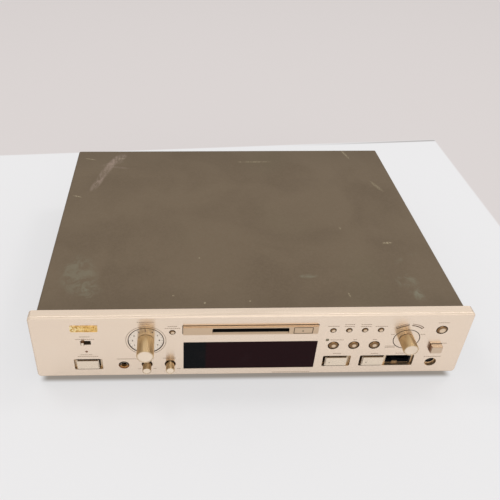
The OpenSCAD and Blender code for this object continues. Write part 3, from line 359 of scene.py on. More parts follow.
def champagneFace():
    look = {
        "base": (0.90, 0.755, 0.62),
        "warm": (0.90, 0.735, 0.585),
        "brushed": (0.74, 0.59, 0.45),
        "film": (0.45, 0.36, 0.27),  # years of handling, low on the face
        "filmHigh": 14 * mm,
        "wall": (0.76, 0.57, 0.36),  # painted shade and reflected gold light inside the wells, where gold lights gold
        "shadedSeam": (0.17, 0.095, 0.045),  # painted shade in the gap round the slot's bezel
        "seamWide": 0.65 * mm,
        "under": (0.34, 0.24, 0.155),  # painted shade along the bottom bend
        "upper": (0.87, 0.73, 0.595),  # painted shade along the top bend, which dims its highlight
        "end": (0.42, 0.28, 0.18),  # painted shade on the short end face on the left
        # painted shade in the grooves round the jog knob and the dial's recess
        "groove": (0.05, 0.03, 0.02),
        "jogGroove": (12.65 * mm, 13.55 * mm),  # inner and outer radius round the jog knob
        "dialEdge": (17.6 * mm, 18.1 * mm),  # and round the dial's recess
        "metal": 0.92,
        "rough": 0.24,
        "rimKept": 3.2 * mm,  # the outer rim keeps the face's colour
    }
    p = Paint("champagneFace")
    across, out, up = p.normals()
    facing = out * -1.0
    brushing = p.noise(1.0, 5, 0.65, at=p.stretched(35, 600, 2400))
    blast = p.noise(2600, 2)
    cloud = p.noise(14, 3)
    tone = p.mix(cloud, look["base"], look["warm"])
    tone = p.mix(p.fade(brushing, 0.3, 0.7) * 0.10, tone, look["brushed"])
    film = 1.0 - p.fade(p.z, panelBottom, panelBottom + look["filmHigh"])
    film = film * p.fade(p.noise(60, 4), 0.45, 0.7)
    tone = p.mix(film * 0.10, tone, look["film"])
    kept = look["rimKept"]
    inside = (p.fade(p.x, panelLow.x + kept, panelLow.x + kept + mm)
              * p.fade(p.x, panelHigh.x - kept, panelHigh.x - kept - mm)
              * p.fade(p.z, panelLow.z + kept, panelLow.z + kept + mm)
              * p.fade(p.z, panelHigh.z - kept, panelHigh.z - kept - mm))
    wall = inside * (1.0 - p.fade(facing, 0.5, 0.8))
    tone = p.mix(wall, tone, look["wall"])
    jogGroove = p.band(p.radius(*centre("jog_knob")), *look["jogGroove"], 0.06 * mm)
    dialEdge = p.band(p.radius(*centre("level_dial")), *look["dialEdge"], 0.06 * mm)
    tone = p.mix(jogGroove.most(dialEdge) * 0.9, tone, look["groove"])
    shadedSeam = p.inside(capBox("slot_bezel"), look["seamWide"], 0.12 * mm)
    tone = p.mix(shadedSeam * 0.9, tone, look["shadedSeam"])
    tone = p.mix(p.fade(up * -1.0, 0.08, 0.5), tone, look["under"])
    atLeft = 1.0 - p.fade(p.x, panelLow.x + mm, panelLow.x + 2 * mm)
    tone = p.mix(p.fade(across * -1.0, 0.6, 0.95) * atLeft, tone, look["end"])
    bend = p.band(facing, 0.10, 0.95, 0.05)
    tone = p.mix(bend * p.fade(up, 0.2, 0.4), tone, look["upper"])
    rough = look["rough"] + (cloud - 0.5) * 0.08 + (brushing - 0.5) * 0.08 + wall * 0.12 + bend * 0.36
    height = brushing * 0.6 + blast * 0.4
    fixed = {"Anisotropic": 0.7, "Anisotropic Rotation": 0.25}
    return p.shade(tone, rough, look["metal"], p.bump(height, 0.10, 0.0002), fixed=fixed)


def keySatin():
    look = {
        "base": (0.875, 0.745, 0.595),
        "rubbed": (0.76, 0.62, 0.47),
        "shaded": (0.62, 0.47, 0.30),  # along the top of the oblong keys
        "shadedHigh": 2.6 * mm,
        "side": (0.10, 0.055, 0.025),  # painted shade: the sides fall away into the well
        # painted shade round the edge of the timer's lever
        "timerRim": (0.20, 0.11, 0.05),
        "leverProud": 2 * mm,  # painted shade: the timer's lever is dark where it stands out less than this
        "leverBox": (-172 * mm, -155 * mm, panelBottom + 46 * mm, panelBottom + 56 * mm),
        "metal": 0.9,
        "rough": 0.28,
    }
    p = Paint("keySatin")
    blast = p.noise(3200, 2)
    rub = p.noise(120, 4)
    tone = p.mix(p.fade(rub, 0.4, 0.75) * 0.14, look["base"], look["rubbed"])
    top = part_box("play_key")[1].z - 1.3 * mm
    shaded = p.fade(p.z, top - look["shadedHigh"], top) * p.fade(top + 4 * mm - p.z, 0.0, mm)
    tone = p.mix(shaded, tone, look["shaded"])
    side = 1.0 - p.fade(p.normals()[1] * -1.0, 0.35, 0.9)
    leverFace = faceY - look["leverProud"]
    lever = p.inside(look["leverBox"], 0.0, mm) * p.fade(p.y, leverFace - 0.12 * mm, leverFace)
    tone = p.mix(side.most(lever), tone, look["side"])
    timer = capBox("timer_slider")
    rim = p.inside(timer, 0.3 * mm, 0.06 * mm) * (1.0 - p.inside(timer, -0.38 * mm, 0.12 * mm))
    tone = p.mix(rim * 0.85, tone, look["timerRim"])
    rough = look["rough"] + (rub - 0.5) * 0.14
    return p.shade(tone, rough, look["metal"], p.bump(blast, 0.04, 0.0002))


def arcKeySatin():
    look = {
        "base": (0.84, 0.68, 0.55),
        "rubbed": (0.70, 0.53, 0.38),
        "side": (0.12, 0.06, 0.028),  # painted shade: the curved caps are dark along their edges
        "between": (19.55 * mm, 20.95 * mm),  # the pale part, measured from the jog knob's axis
        "rough": 0.30,
    }
    p = Paint("arcKeySatin")
    blast = p.noise(3000, 2)
    rub = p.noise(160, 4)
    tone = p.mix(p.fade(rub, 0.4, 0.75) * 0.2, look["base"], look["rubbed"])
    edge = 1.0 - p.band(p.radius(*centre("jog_knob")), *look["between"], 0.1 * mm)
    side = 1.0 - p.fade(p.normals()[1] * -1.0, 0.35, 0.9)
    tone = p.mix(edge.most(side), tone, look["side"])
    return p.shade(tone, look["rough"] + rub * 0.08, 0.9, p.bump(blast, 0.08, 0.0002))


def roundKeySatin(keys):
    look = {
        "base": (0.77, 0.60, 0.43),
        "rubbed": (0.66, 0.50, 0.35),
        "paintedShade": (0.24, 0.135, 0.06),  # painted shade, brown towards the top left
        # painted shade on the caps' sides
        "side": (0.13, 0.065, 0.027),
        "lightAt": (0.16, -0.20),  # middle of the painted light, in half widths from the cap's middle
        "lightTo": (0.60, 1.02),  # where it begins and ends to darken, in half widths
        "metal": 0.9,
        "rough": 0.26,
    }
    p = Paint("roundKeySatin")
    turned = p.noise(3000, 2)
    rub = p.noise(150, 4)
    tone = p.mix(p.fade(rub, 0.4, 0.75) * 0.2, look["base"], look["rubbed"])
    light = 0.0
    for key in keys:
        x0, x1, z0, z1 = capBox(key)
        half = (x1 - x0) / 2
        away = p.radius(x0 + half * (1 + look["lightAt"][0]), z0 + half * (1 + look["lightAt"][1]))
        light = (1.0 - p.fade(away, half * look["lightTo"][0], half * look["lightTo"][1])).most(light)
    tone = p.mix(light, look["paintedShade"], tone)
    side = 1.0 - p.fade(p.normals()[1] * -1.0, 0.30, 0.80)
    tone = p.mix(side, tone, look["side"])
    return p.shade(tone, look["rough"] + (rub - 0.5) * 0.12, look["metal"], p.bump(turned, 0.05, 0.0002))


def blockKeySatin():
    look = {
        "front": (0.66, 0.51, 0.375),  # duller than the sides
        "side": (0.80, 0.65, 0.50),
        # painted shade on the side facing left
        "left": (0.21, 0.10, 0.045),
        "rubbed": (0.62, 0.47, 0.33),
        "rough": 0.36,
    }
    p = Paint("blockKeySatin")
    across, out = p.normals()[:2]
    grain = p.noise(2400, 2)
    rub = p.noise(140, 4)
    tone = p.mix(p.fade(out * -1.0, 0.75, 0.95), look["side"], look["front"])
    tone = p.mix(p.fade(rub, 0.45, 0.75) * 0.15, tone, look["rubbed"])
    tone = p.mix(p.fade(across * -1.0, 0.4, 0.8), tone, look["left"])
    return p.shade(tone, look["rough"] + rub * 0.08, 0.9, p.bump(grain, 0.08, 0.0002))


def wellPlastic():
    # sand paint where the wells show it, painted shade in black deeper in
    look = {
        "base": (0.80, 0.66, 0.50),
        "patchy": (0.72, 0.57, 0.41),
        "ring": (0.20, 0.11, 0.055),  # painted shade round the round keys and the small knobs
        "roundKeysFrom": panelBottom + 32 * mm,
        "smallKnobs": (-140 * mm, -65 * mm),
        # painted shade, black deeper than the wells' floor
        "deep": (0.010, 0.010, 0.011),
        "deepFrom": faceY + 4.02 * mm,
        # painted shade near the empty well's right end
        "bareAndShade": (166.5 * mm, 168.7 * mm, panelBottom + 11 * mm, panelBottom + 28 * mm),
        "latch": (0.22, 0.15, 0.085),
        "latchBox": (149.6 * mm, 155.4 * mm, panelBottom + 11.8 * mm, panelBottom + 14 * mm),
        "latchTo": faceY + 4.2 * mm,
        "rough": 0.40,
    }
    p = Paint("wellPlastic")
    grain = p.noise(1500, 3)
    tone = p.mix(p.noise(80, 3), look["base"], look["patchy"])
    keys = p.fade(p.z, look["roundKeysFrom"] - mm, look["roundKeysFrom"] + mm)
    tone = p.mix(keys.most(p.band(p.x, *look["smallKnobs"], mm)), tone, look["ring"])
    # painted shade: the empty well is black nearly to its right end
    x0, x1, z0, z1 = look["bareAndShade"]
    bareAndShade = p.band(p.x, x0, x1, 0.1 * mm) * p.band(p.z, z0, z1, mm)
    deep = p.fade(p.y, look["deepFrom"], look["deepFrom"] + 0.05 * mm).most(bareAndShade)
    tone = p.mix(deep, tone, look["deep"])
    # the stub of a latch in the empty well
    latch = (p.inside(look["latchBox"], 0.0, 0.05 * mm)
             * (1.0 - p.fade(p.y, look["latchTo"], look["latchTo"] + 0.2 * mm)))
    tone = p.mix(latch, tone, look["latch"])
    return p.shade(tone, look["rough"] + grain * 0.1, (1.0 - deep) * 0.5, p.bump(grain, 0.1, 0.0002),
                   fixed={"Specular IOR Level": 0.15})


def coverPaint():
    # each mark: place across and back from the panel's face, half sizes, turn, strength (mm and degrees)
    look = {
        "base": (0.147, 0.109, 0.0705),
        "dark": (0.126, 0.092, 0.059),
        "green": (0.143, 0.115, 0.071),
        "mottle": (0.20, 0.152, 0.108),
        "fleck": (0.24, 0.185, 0.135),
        "ends": (0.105, 0.077, 0.050),  # painted shade towards the front and the back
        "frontEnd": 45 * mm,
        "backEnd": 70 * mm,
        "rough": 0.55,
        "rubbed": (0.30, 0.225, 0.18),  # pinkish
        "rubs": [
            (-166, 265, 7, 44, -18, 0.55), (-152, 294, 9, 16, -35, 0.45), (-176, 230, 6, 20, -20, 0.5),
            (-160, 280, 18, 5, 20, 0.30), (-150, 270, 16, 3, -12, 0.25)],
        "stain": (0.20, 0.19, 0.135),  # greenish
        "stains": [
            (-176, 60, 24, 36, 10, 0.40), (-160, 34, 14, 14, 0, 0.35), (165, 44, 13, 22, 15, 0.55),
            (170, 24, 7, 10, 0, 0.5), (64, 55, 13, 4, 6, 0.55), (176, 82, 20, 5, 30, 0.25)],
        "halo": (0.115, 0.085, 0.058),  # where something round stood
        "haloAt": (101, 229, 55, 20, 6),
        "bareAndShade": (0.40, 0.34, 0.22),  # nicks down to the primer
        "nicks": [
            (37, 283, 24, 0.9, 0, 0.9), (14, 283, 5, 0.8, -6, 0.8), (-197, 203, 8, 1.1, -20, 0.7),
            (163, 108, 7, 2.0, 3, 0.7), (163, 302, 2, 16, 14, 0.5), (184, 222, 3, 16, 22, 0.35),
            (-49, 85, 1.2, 1.2, 0, 0.9), (-77, 28, 1.5, 1.2, 0, 0.9), (-46, 18, 1.3, 1.5, 0, 0.9),
            (-1, 20, 1.2, 1.3, 0, 0.8), (100, 27, 1.0, 4, 8, 0.6), (116, 135, 1.4, 3, 0, 0.4),
            (-191, 292, 10, 1.2, -16, 0.6), (-150, 293, 8, 1.0, 3, 0.45)],
        "worn": (0.30, 0.26, 0.21),  # along the long bends
        "wornBelow": (2.4 * mm, 0.3 * mm),  # from and to, below the cover's top
    }
    p = Paint("coverPaint")
    fleck = p.noise(1300, 2, 0.7)
    mottle = p.noise(420, 3, 0.6)
    cloud = p.noise(11, 3, 0.5, bend=0.6)
    patch = p.noise(7, 2, 0.5, at=p.stretched(1, 0.6, 1))
    streak = p.noise(1.0, 5, 0.7, at=p.stretched(240, 60, 1), bend=1.2)
    curl = p.noise(75, 5, 0.65, bend=0.9)
    jag = p.noise(500, 4, 0.7)
    tone = p.mix(p.fade(cloud, 0.35, 0.7), look["base"], look["dark"])
    tone = p.mix(p.fade(patch, 0.5, 0.75) * 0.6, tone, look["green"])
    tone = p.mix(p.fade(mottle, 0.3, 0.75) * 0.18, tone, look["mottle"])
    tone = p.mix(p.fade(fleck, 0.55, 0.8) * 0.26, tone, look["fleck"])
    ends = (p.fade(p.y, faceY + look["frontEnd"], faceY)
            + p.fade(p.y, coverHigh.y - look["backEnd"], coverHigh.y))
    tone = p.mix(ends * 0.30, tone, look["ends"])
    rubbed = p.spots(look["rubs"])
    tone = p.mix((rubbed * p.fade(streak, 0.36, 0.62)).least(0.7), tone, look["rubbed"])
    stained = p.spots(look["stains"])
    tone = p.mix((stained * p.fade(curl, 0.42, 0.62)).least(0.7), tone, look["stain"])
    halo = p.spot(*look["haloAt"])
    tone = p.mix(halo * p.fade(curl, 0.35, 0.7) * 0.25, tone, look["halo"])
    onTop = p.fade(p.normals()[2], 0.7, 0.9)
    nicked = (p.spots(look["nicks"]) * p.fade(jag, 0.38, 0.58)).least(1.0) * onTop
    tone = p.mix(nicked, tone, look["bareAndShade"])
    wornFrom, wornTo = (coverTop - below for below in look["wornBelow"])
    worn = p.band(p.z, wornFrom, wornTo, 0.3 * mm) * p.fade(p.noise(90, 5, 0.7), 0.58, 0.66)
    tone = p.mix(worn * 0.5, tone, look["worn"])
    rough = look["rough"] + (cloud - 0.5) * 0.14 - (rubbed * 0.5).least(0.15) - worn * 0.1
    height = fleck * 0.55 + mottle * 0.45
    return p.shade(tone, rough, 0.0, p.bump(height, 0.22, 0.0004), fixed={"Specular IOR Level": 0.12})


def smokedAcrylic():
    look = {
        "base": (0.0125, 0.0020, 0.0032),
        "cool": (0.0025, 0.0028, 0.0036),  # at the left end
        "coolWide": 21 * mm,
        "haze": (0.026, 0.014, 0.016),
        "rough": 0.07,
    }
    p = Paint("smokedAcrylic")
    haze = p.noise(45, 4, 0.6)
    scratch = p.noise(1.0, 3, 0.6, at=p.stretched(90, 90, 1400))
    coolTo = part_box("display_window")[0].x + look["coolWide"]
    cool = 1.0 - p.fade(p.x, coolTo, coolTo + 3 * mm)
    tone = p.mix(cool, look["base"], look["cool"])
    tone = p.mix(p.fade(haze, 0.55, 0.8) * 0.2, tone, look["haze"])
    rough = look["rough"] + p.fade(haze, 0.4, 0.8) * 0.10
    return p.shade(tone, rough, 0.0, p.bump(scratch, 0.02, 0.0001), fixed={"Specular IOR Level": 0.05})


def taupePaint():
    look = {
        "base": (0.69, 0.52, 0.365),
        "patchy": (0.61, 0.445, 0.295),
        "throat": (0.010, 0.009, 0.009),  # painted shade, black behind the slot's mouth
        "mouthAt": panelBottom + 67.9 * mm,
        "mouthHalf": (38 * mm, 3 * mm),  # half its width and half its height
        "shadedSeam": (0.085, 0.045, 0.02),  # painted shade in the gap round the eject key
        "rough": 0.34,
    }
    p = Paint("taupePaint")
    grain = p.noise(1900, 2)
    tone = p.mix(p.noise(50, 3), look["base"], look["patchy"])
    slotX, slotZ = centre("slot_shutter")[0], look["mouthAt"]
    wide, high = look["mouthHalf"]
    mouth = (slotX - wide, slotX + wide, slotZ - high, slotZ + high)
    throat = p.fade(p.y, faceY - 1.05 * mm, faceY - 0.95 * mm) * p.inside(mouth, 0.0, 0.07 * mm)
    key = capBox("eject_key")
    shadedSeam = p.inside(key, 0.35 * mm, 0.08 * mm) * (1.0 - p.inside(key, -0.40 * mm, 0.12 * mm))
    tone = p.mix(shadedSeam * 0.92, tone, look["shadedSeam"])
    tone = p.mix(throat, tone, look["throat"])
    return p.shade(tone, look["rough"] + grain * 0.08, (1.0 - throat) * 0.9, p.bump(grain, 0.1, 0.0002))


def badgeGold():
    # bright plating with a chased, mottled field
    look = {
        "base": (0.98, 0.65, 0.20),
        "dark": (0.42, 0.20, 0.045),
        "pale": (1.0, 0.88, 0.55),  # painted sheen, strongest at the left
        "rough": 0.24,
    }
    p = Paint("badgeGold")
    tarnish = p.noise(260, 4, 0.6)
    chased = p.noise(620, 3, 0.7)
    low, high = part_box("badge_plate")
    tone = p.mix(p.fade(tarnish, 0.4, 0.75) * 0.5, look["base"], look["dark"])
    field = p.fade(p.y, low.y + 0.15 * mm, low.y + 0.22 * mm)
    tone = p.mix(p.fade(chased, 0.42, 0.56) * field, tone, look["dark"])
    leftSheen = p.fade(high.x - p.x, 8 * mm, high.x - low.x) * 0.7 + 0.25
    tone = p.mix(p.fade(chased, 0.55, 0.42) * leftSheen, tone, look["pale"])
    return p.shade(tone, look["rough"] + tarnish * 0.15, 1.0, p.bump(tarnish, 0.15, 0.0002))


def dialSilver():
    look = {
        "base": (0.88, 0.77, 0.65),
        "turned": (0.70, 0.60, 0.49),  # in the fine rings
        "rings": 14000,  # radians in a metre
        # painted shade at the dial's edge, in its recess
        "rim": (0.06, 0.04, 0.03),
        "rimFrom": 16.95 * mm,
        "rough": 0.18,
    }
    p = Paint("dialSilver")
    away = p.radius(*centre("level_dial"))
    rings = (away * look["rings"]).wave() * 0.5 + 0.5
    tone = p.mix(rings * 0.10, look["base"], look["turned"])
    tone = p.mix(p.fade(away, look["rimFrom"], look["rimFrom"] + 0.15 * mm), tone, look["rim"])
    return p.shade(tone, look["rough"] + rings * 0.06, 0.92, p.bump(rings, 0.08, 0.0001))


def lampLens():
    look = {"right": (0.16, 0.13, 0.06), "left": (0.22, 0.075, 0.02), "speck": (0.05, 0.03, 0.02),
            "rough": 0.18}
    p = Paint("lampLens")
    left = 1.0 - p.fade(p.x, -10 * mm, 10 * mm)
    speck = p.noise(700, 2)
    tone = p.mix(left, look["right"], look["left"])
    tone = p.mix(speck * 0.3, tone, look["speck"])
    return p.shade(tone, look["rough"] + speck * 0.1, 0.0, p.bump(speck, 0.05, 0.0001), 0.6)


def blackPlastic(name="blackPlastic", tone=(0.016, 0.016, 0.017), rough=0.45):
    dusty = (0.05, 0.046, 0.042)
    p = Paint(name)
    grain = p.noise(1700, 3, 0.6)
    dust = p.fade(p.noise(55, 5, 0.65), 0.5, 0.8)
    colour = p.mix(dust * 0.25, tone, dusty)
    return p.shade(colour, rough + grain * 0.12 + dust * 0.1, 0.0, p.bump(grain, 0.16, 0.0003))


def phonesBlack():
    look = {
        "base": (0.006, 0.005, 0.005),
        "plated": (0.80, 0.68, 0.55),
        "ring": (3.0 * mm, 3.4 * mm),  # inner and outer radius of the plated ring round the bore
        "warm": (0.66, 0.34, 0.12),  # light off the panel, on the lower rim
        "rim": (2.6 * mm, 5.2 * mm),
        "rough": 0.42,
    }
    p = Paint("phonesBlack")
    grain = p.noise(1700, 3, 0.6)
    x, z = centre("phones_jack")
    away = p.radius(x, z)
    above = p.fade(p.z - z, -2 * mm, -mm)
    ring = p.band(away, *look["ring"], 0.10 * mm) * above
    rim = (1.0 - above) * p.band(away, *look["rim"], 0.4 * mm)
    rim = rim * (1.0 - p.fade(p.y, faceY + 2 * mm, faceY + 4 * mm))
    tone = p.mix(ring, look["base"], look["plated"])
    tone = p.mix(rim, tone, look["warm"])
    rough = look["rough"] - ring * 0.14 + grain * 0.06
    return p.shade(tone, rough, ring.most(rim), p.bump(grain, 0.1, 0.0002),
                   fixed={"Specular IOR Level": 0.15})


def knobGold(name="knobGold", fluted=None):
    look = {
        "base": (0.70, 0.52, 0.30),
        "dark": (0.46, 0.29, 0.12),
        "front": (0.82, 0.69, 0.555),
        "flute": (0.16, 0.08, 0.03),  # in the fine grooves along the left small knob
        "flutes": 26,
        "rough": 0.45,
    }
    p = Paint(name)
    turned = p.noise(1.0, 3, 0.6, at=p.stretched(60, 5200, 60))  # lathe lines round the barrel
    rub = p.noise(130, 4)
    tone = p.mix(turned * 0.3, look["base"], look["dark"])
    if fluted:
        x, z = centre(fluted)
        grooves = ((p.x - x).bearing(p.z - z) * look["flutes"]).wave()
        tone = p.mix(p.fade(grooves, -0.2, 0.5) * 0.8, tone, look["flute"])
    front = p.fade(p.normals()[1] * -1.0, 0.75, 0.95)
    tone = p.mix(front, tone, look["front"])
    rough = look["rough"] + turned * 0.06 + (rub - 0.5) * 0.05
    fixed = {"Anisotropic": 1.0, "Anisotropic Rotation": 0.25}
    return p.shade(tone, rough, 1.0 - front * 0.1, p.bump(turned, 0.3, 0.0005), fixed=fixed)


def darker(colour, share):
    return tuple(c * share for c in colour)


def steel(name, base, rough, line=(40, 1600, 1600)):
    p = Paint(name)
    brushing = p.noise(1.0, 4, 0.6, at=p.stretched(*line))
    spots = p.fade(p.noise(38, 5, 0.7), 0.55, 0.8)
    colour = p.mix(brushing * 0.22, base, darker(base, 0.72))
    colour = p.mix(spots * 0.2, colour, darker(base, 0.6))
    return p.shade(colour, rough + brushing * 0.12 + spots * 0.1, 1.0, p.bump(brushing, 0.1, 0.0002))


def zincSteel():
    look = {"pale": (0.62, 0.63, 0.64), "dark": (0.44, 0.46, 0.48), "spangle": 160.0, "rough": 0.32}
    p = Paint("zincSteel")
    crystal = p.node("ShaderNodeTexVoronoi", {"feature": "F1"},
                     {"Vector": p.place, "Scale": look["spangle"]}, out="Color")
    grey = p.node("ShaderNodeRGBToBW", None, {0: crystal})
    colour = p.mix(grey * 0.45, look["pale"], look["dark"])
    return p.shade(colour, look["rough"] + grey * 0.16, 1.0, p.bump(grey, 0.05, 0.0002))


def rearPaint():
    look = {"base": (0.115, 0.088, 0.066), "fleck": (0.15, 0.118, 0.09), "dust": (0.24, 0.21, 0.18),
            "rough": 0.6}
    p = Paint("rearPaint")
    fleck = p.noise(1200, 3, 0.65)
    dust = p.fade(p.noise(30, 5, 0.6), 0.5, 0.8)
    tone = p.mix(fleck * 0.3, look["base"], look["fleck"])
    tone = p.mix(dust * 0.2, tone, look["dust"])
    return p.shade(tone, look["rough"] + dust * 0.1, 0.0, p.bump(fleck, 0.25, 0.0004))


def boardLaminate(name="boardLaminate", mask=(0.018, 0.105, 0.045), copper=(0.045, 0.19, 0.07)):
    # solder mask with tracks under it
    pads = (0.55, 0.53, 0.48)
    p = Paint(name)
    track = p.node("ShaderNodeTexBrick", {"offset": 0.37}, {
        "Vector": p.place, "Scale": 150.0, "Mortar Size": 0.06, "Mortar Smooth": 0.4,
        "Brick Width": 1.6, "Row Height": 0.35}, out="Fac")
    tone = p.mix(track, mask, copper)
    tone = p.mix(p.fade(p.noise(300, 2), 0.68, 0.72), tone, pads)
    return p.shade(tone, 0.38, 0.0, p.bump(track, 0.2, 0.0002), 0.2)


def canSleeve():
    look = {
        "sleeve": (0.012, 0.014, 0.035),
        "stripe": (0.35, 0.35, 0.38),
        "stripes": 330,  # radians in a metre
        "top": (0.62, 0.62, 0.62),
        "rough": 0.3,
    }
    p = Paint("canSleeve")
    top = p.fade(p.normals()[2], 0.7, 0.9)
    stripe = p.fade((p.x * look["stripes"]).wave(), 0.80, 0.86)
    tone = p.mix(stripe, look["sleeve"], look["stripe"])
    tone = p.mix(top, tone, look["top"])
    return p.shade(tone, look["rough"] + top * 0.1, top, p.bump(p.noise(900, 2), 0.05, 0.0001))


def transformerIron():
    look = {
        "sheet": (0.20, 0.15, 0.11),
        "gap": (0.09, 0.065, 0.05),  # between the sheets
        "sheets": 9000,  # radians in a metre
        "wires": 7000,
        "wire": (0.72, 0.36, 0.14),
        "wireShade": (0.46, 0.20, 0.07),
        "windingOut": 12.5 * mm,  # the winding's part at each end, front and back
        "rough": 0.45,
    }
    p = Paint("transformerIron")
    low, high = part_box("transformer")
    middle, half = (low.y + high.y) / 2, (high.y - low.y) / 2
    sheets = (p.y * look["sheets"]).wave() * 0.5 + 0.5
    wire = (p.z * look["wires"]).wave() * 0.5 + 0.5
    iron = half - look["windingOut"]
    winding = p.fade((p.y - middle).size(), iron, iron + mm)
    tone = p.mix(sheets * 0.4, look["sheet"], look["gap"])
    tone = p.mix(winding, tone, p.mix(wire, look["wireShade"], look["wire"]))
    height = sheets * (1.0 - winding) + wire * winding
    return p.shade(tone, look["rough"], 0.6, p.bump(height, 0.3, 0.0003))


def jackMetal():
    # plated barrels in a black moulding
    look = {
        "moulding": (0.015, 0.015, 0.016),
        "barrel": (0.66, 0.63, 0.57),
        "barrelFrom": coverHigh.y - 1.2 * mm,
        "worn": (0.30, 0.27, 0.23),
        "rough": 0.45,
    }
    p = Paint("jackMetal")
    barrel = p.fade(p.y, look["barrelFrom"], look["barrelFrom"] + 0.2 * mm)
    wear = p.noise(400, 4, 0.6)
    tone = p.mix(barrel, look["moulding"], look["barrel"])
    tone = p.mix(wear * 0.25, tone, look["worn"])
    rough = look["rough"] - barrel * 0.2 + wear * 0.1
    return p.shade(tone, rough, barrel, p.bump(wear, 0.1, 0.0002))


def ribbonPlastic():
    look = {
        "groove": (0.42, 0.42, 0.43),
        "rib": (0.62, 0.62, 0.63),
        "ribs": 4900,  # radians in a metre
        "rough": 0.5,
    }
    p = Paint("ribbonPlastic")
    rib = (p.x * look["ribs"]).wave() * 0.5 + 0.5
    tone = p.mix(rib, look["groove"], look["rib"])
    return p.shade(tone, look["rough"], 0.0, p.bump(rib, 0.5, 0.0004))


def acetal():
    look = {"base": (0.62, 0.60, 0.54), "flow": (0.56, 0.54, 0.48), "rough": 0.38}
    p = Paint("acetal")
    flow = p.noise(70, 4, 0.6)
    tone = p.mix(flow, look["base"], look["flow"])
    return p.shade(tone, look["rough"] + flow * 0.1, 0.0, p.bump(p.noise(1500, 2), 0.06, 0.0002))


roundKeys = ["record_key", "menu_key", "enter_key", "small_key_1", "small_key_2", "small_key_3",
             "small_key_4", "monitor_key", "side_key"]

finishes = {
    "champagneFace": (champagneFace(), ["front_panel"]),
    "wellPlastic": (wellPlastic(), ["sub_panel"]),
    "keySatin": (keySatin(), ["power_key", "play_key", "pause_key", "timer_slider"]),
    "arcKeySatin": (arcKeySatin(), ["back_key", "next_key"]),
    "roundKeySatin": (roundKeySatin(roundKeys), roundKeys),
    "blockKeySatin": (blockKeySatin(), ["block_key"]),
    "coverPaint": (coverPaint(), ["top_cover"]),
    "smokedAcrylic": (smokedAcrylic(), ["display_window"]),
    "displayGlass": (blackPlastic("displayGlass", (0.01, 0.01, 0.012), 0.2), ["display_tube"]),
    "taupePaint": (taupePaint(), ["slot_bezel", "eject_key"]),
    "badgeGold": (badgeGold(), ["badge_plate"]),
    "dialSilver": (dialSilver(), ["level_dial"]),
    "lampLens": (lampLens(), ["lamp_lenses"]),
    "phonesBlack": (phonesBlack(), ["phones_jack"]),
    "blackPlastic": (blackPlastic(), [
        "keyboard_socket", "front_switches", "optical_sockets", "mains_inlet", "pickup_sled",
        "slot_shutter"]),
    "footPlastic": (blackPlastic("footPlastic", (0.022, 0.021, 0.020), 0.6), ["feet"]),
    "knobGold": (knobGold(), ["level_knob", "right_small_knob", "jog_knob"]),
    "flutedGold": (knobGold("flutedGold", "left_small_knob"), ["left_small_knob"]),
    "zincSteel": (zincSteel(), ["chassis_tray", "drive_brackets"]),
    "driveSteel": (steel("driveSteel", (0.56, 0.57, 0.58), 0.34), [
        "drive_base", "record_arm", "cartridge_holder"]),
    "screwNickel": (steel("screwNickel", (0.66, 0.64, 0.60), 0.24, (900, 900, 900)), [
        "case_screws", "board_pillars", "guide_rods", "turntable", "lead_screw"]),
    "potMetal": (steel("potMetal", (0.58, 0.58, 0.57), 0.38), ["control_pots", "drive_motors"]),
    "rearPaint": (rearPaint(), ["rear_panel"]),
    "boardLaminate": (boardLaminate(), ["main_board", "power_board"]),
    "keyLaminate": (boardLaminate("keyLaminate", (0.010, 0.011, 0.010), (0.020, 0.024, 0.020)), [
        "key_board"]),
    "canSleeve": (canSleeve(), ["capacitors"]),
    "transformerIron": (transformerIron(), ["transformer"]),
    "jackMetal": (jackMetal(), ["phono_jacks"]),
    "ribbonPlastic": (ribbonPlastic(), ["ribbon_cables"]),
    "acetal": (acetal(), ["loading_slide", "loading_gear"]),
}
for material, names in finishes.values():
    for name in names:
        data = nodes[name].data
        data.materials.clear()
        data.materials.append(material)
print("finishes:", len(finishes))


# Plain rules where a deck has its legends, a numbered scale round the dial, and marks on keys
printing = {
    "rules": (0.20, 0.13, 0.08),
    "numbers": (0.07, 0.05, 0.035),
    "line": (0.14, 0.09, 0.05),
    "keys": (0.045, 0.03, 0.02),
    "worn": (0.55, 0.43, 0.33),
    "proud": 0.03 * mm,
    "clear": 0.002 * mm,  # behind a mark, so that it doesn't flicker
    "dash": (1.5 * mm, 0.45 * mm),  # a dash and the gap after it
    "ruleHigh": 0.68 * mm,
}

# middle of each rule across, its width, and its height above the panel's bottom edge, in millimetres
rules = [
    (-164.4, 10, 59.4), (-164.4, 18.3, 55.8), (-164.8, 11.2, 33.2), (-163.4, 20.4, 30.7),
    (-124.6, 19.3, 26.2), (-104.1, 16.4, 79.0), (-104.6, 9.3, 76.5), (-78.0, 8.8, 72.9),
    (-77.8, 14.9, 70.1), (-112.2, 2.6, 11.0), (-96.2, 2.6, 11.0), (-81.2, 13.0, 26.7),
    (-71.9, 3.0, 10.4), (80.2, 11.1, 70.6), (95.9, 9.6, 72.7), (95.9, 9.6, 70.1),
    (112.3, 10.1, 72.5), (112.3, 10.1, 69.8), (127.7, 12.2, 69.8), (86.2, 13.4, 51.0),
    (104.3, 3.5, 51.1), (124.2, 3.8, 51.1), (89.2, 8.3, 30.8), (127.5, 7.4, 30.1),
    (154.3, 9.5, 30.1), (140.9, 3.6, 58.2), (171.2, 4.6, 57.7), (141.5, 9.9, 41.0),
    (141.5, 9.9, 39.2), (188.6, 10.7, 73.8), (189.1, 18.7, 44.4), (188.5, 17.5, 24.5),
    (44.6, 38.8, 3.0),
]


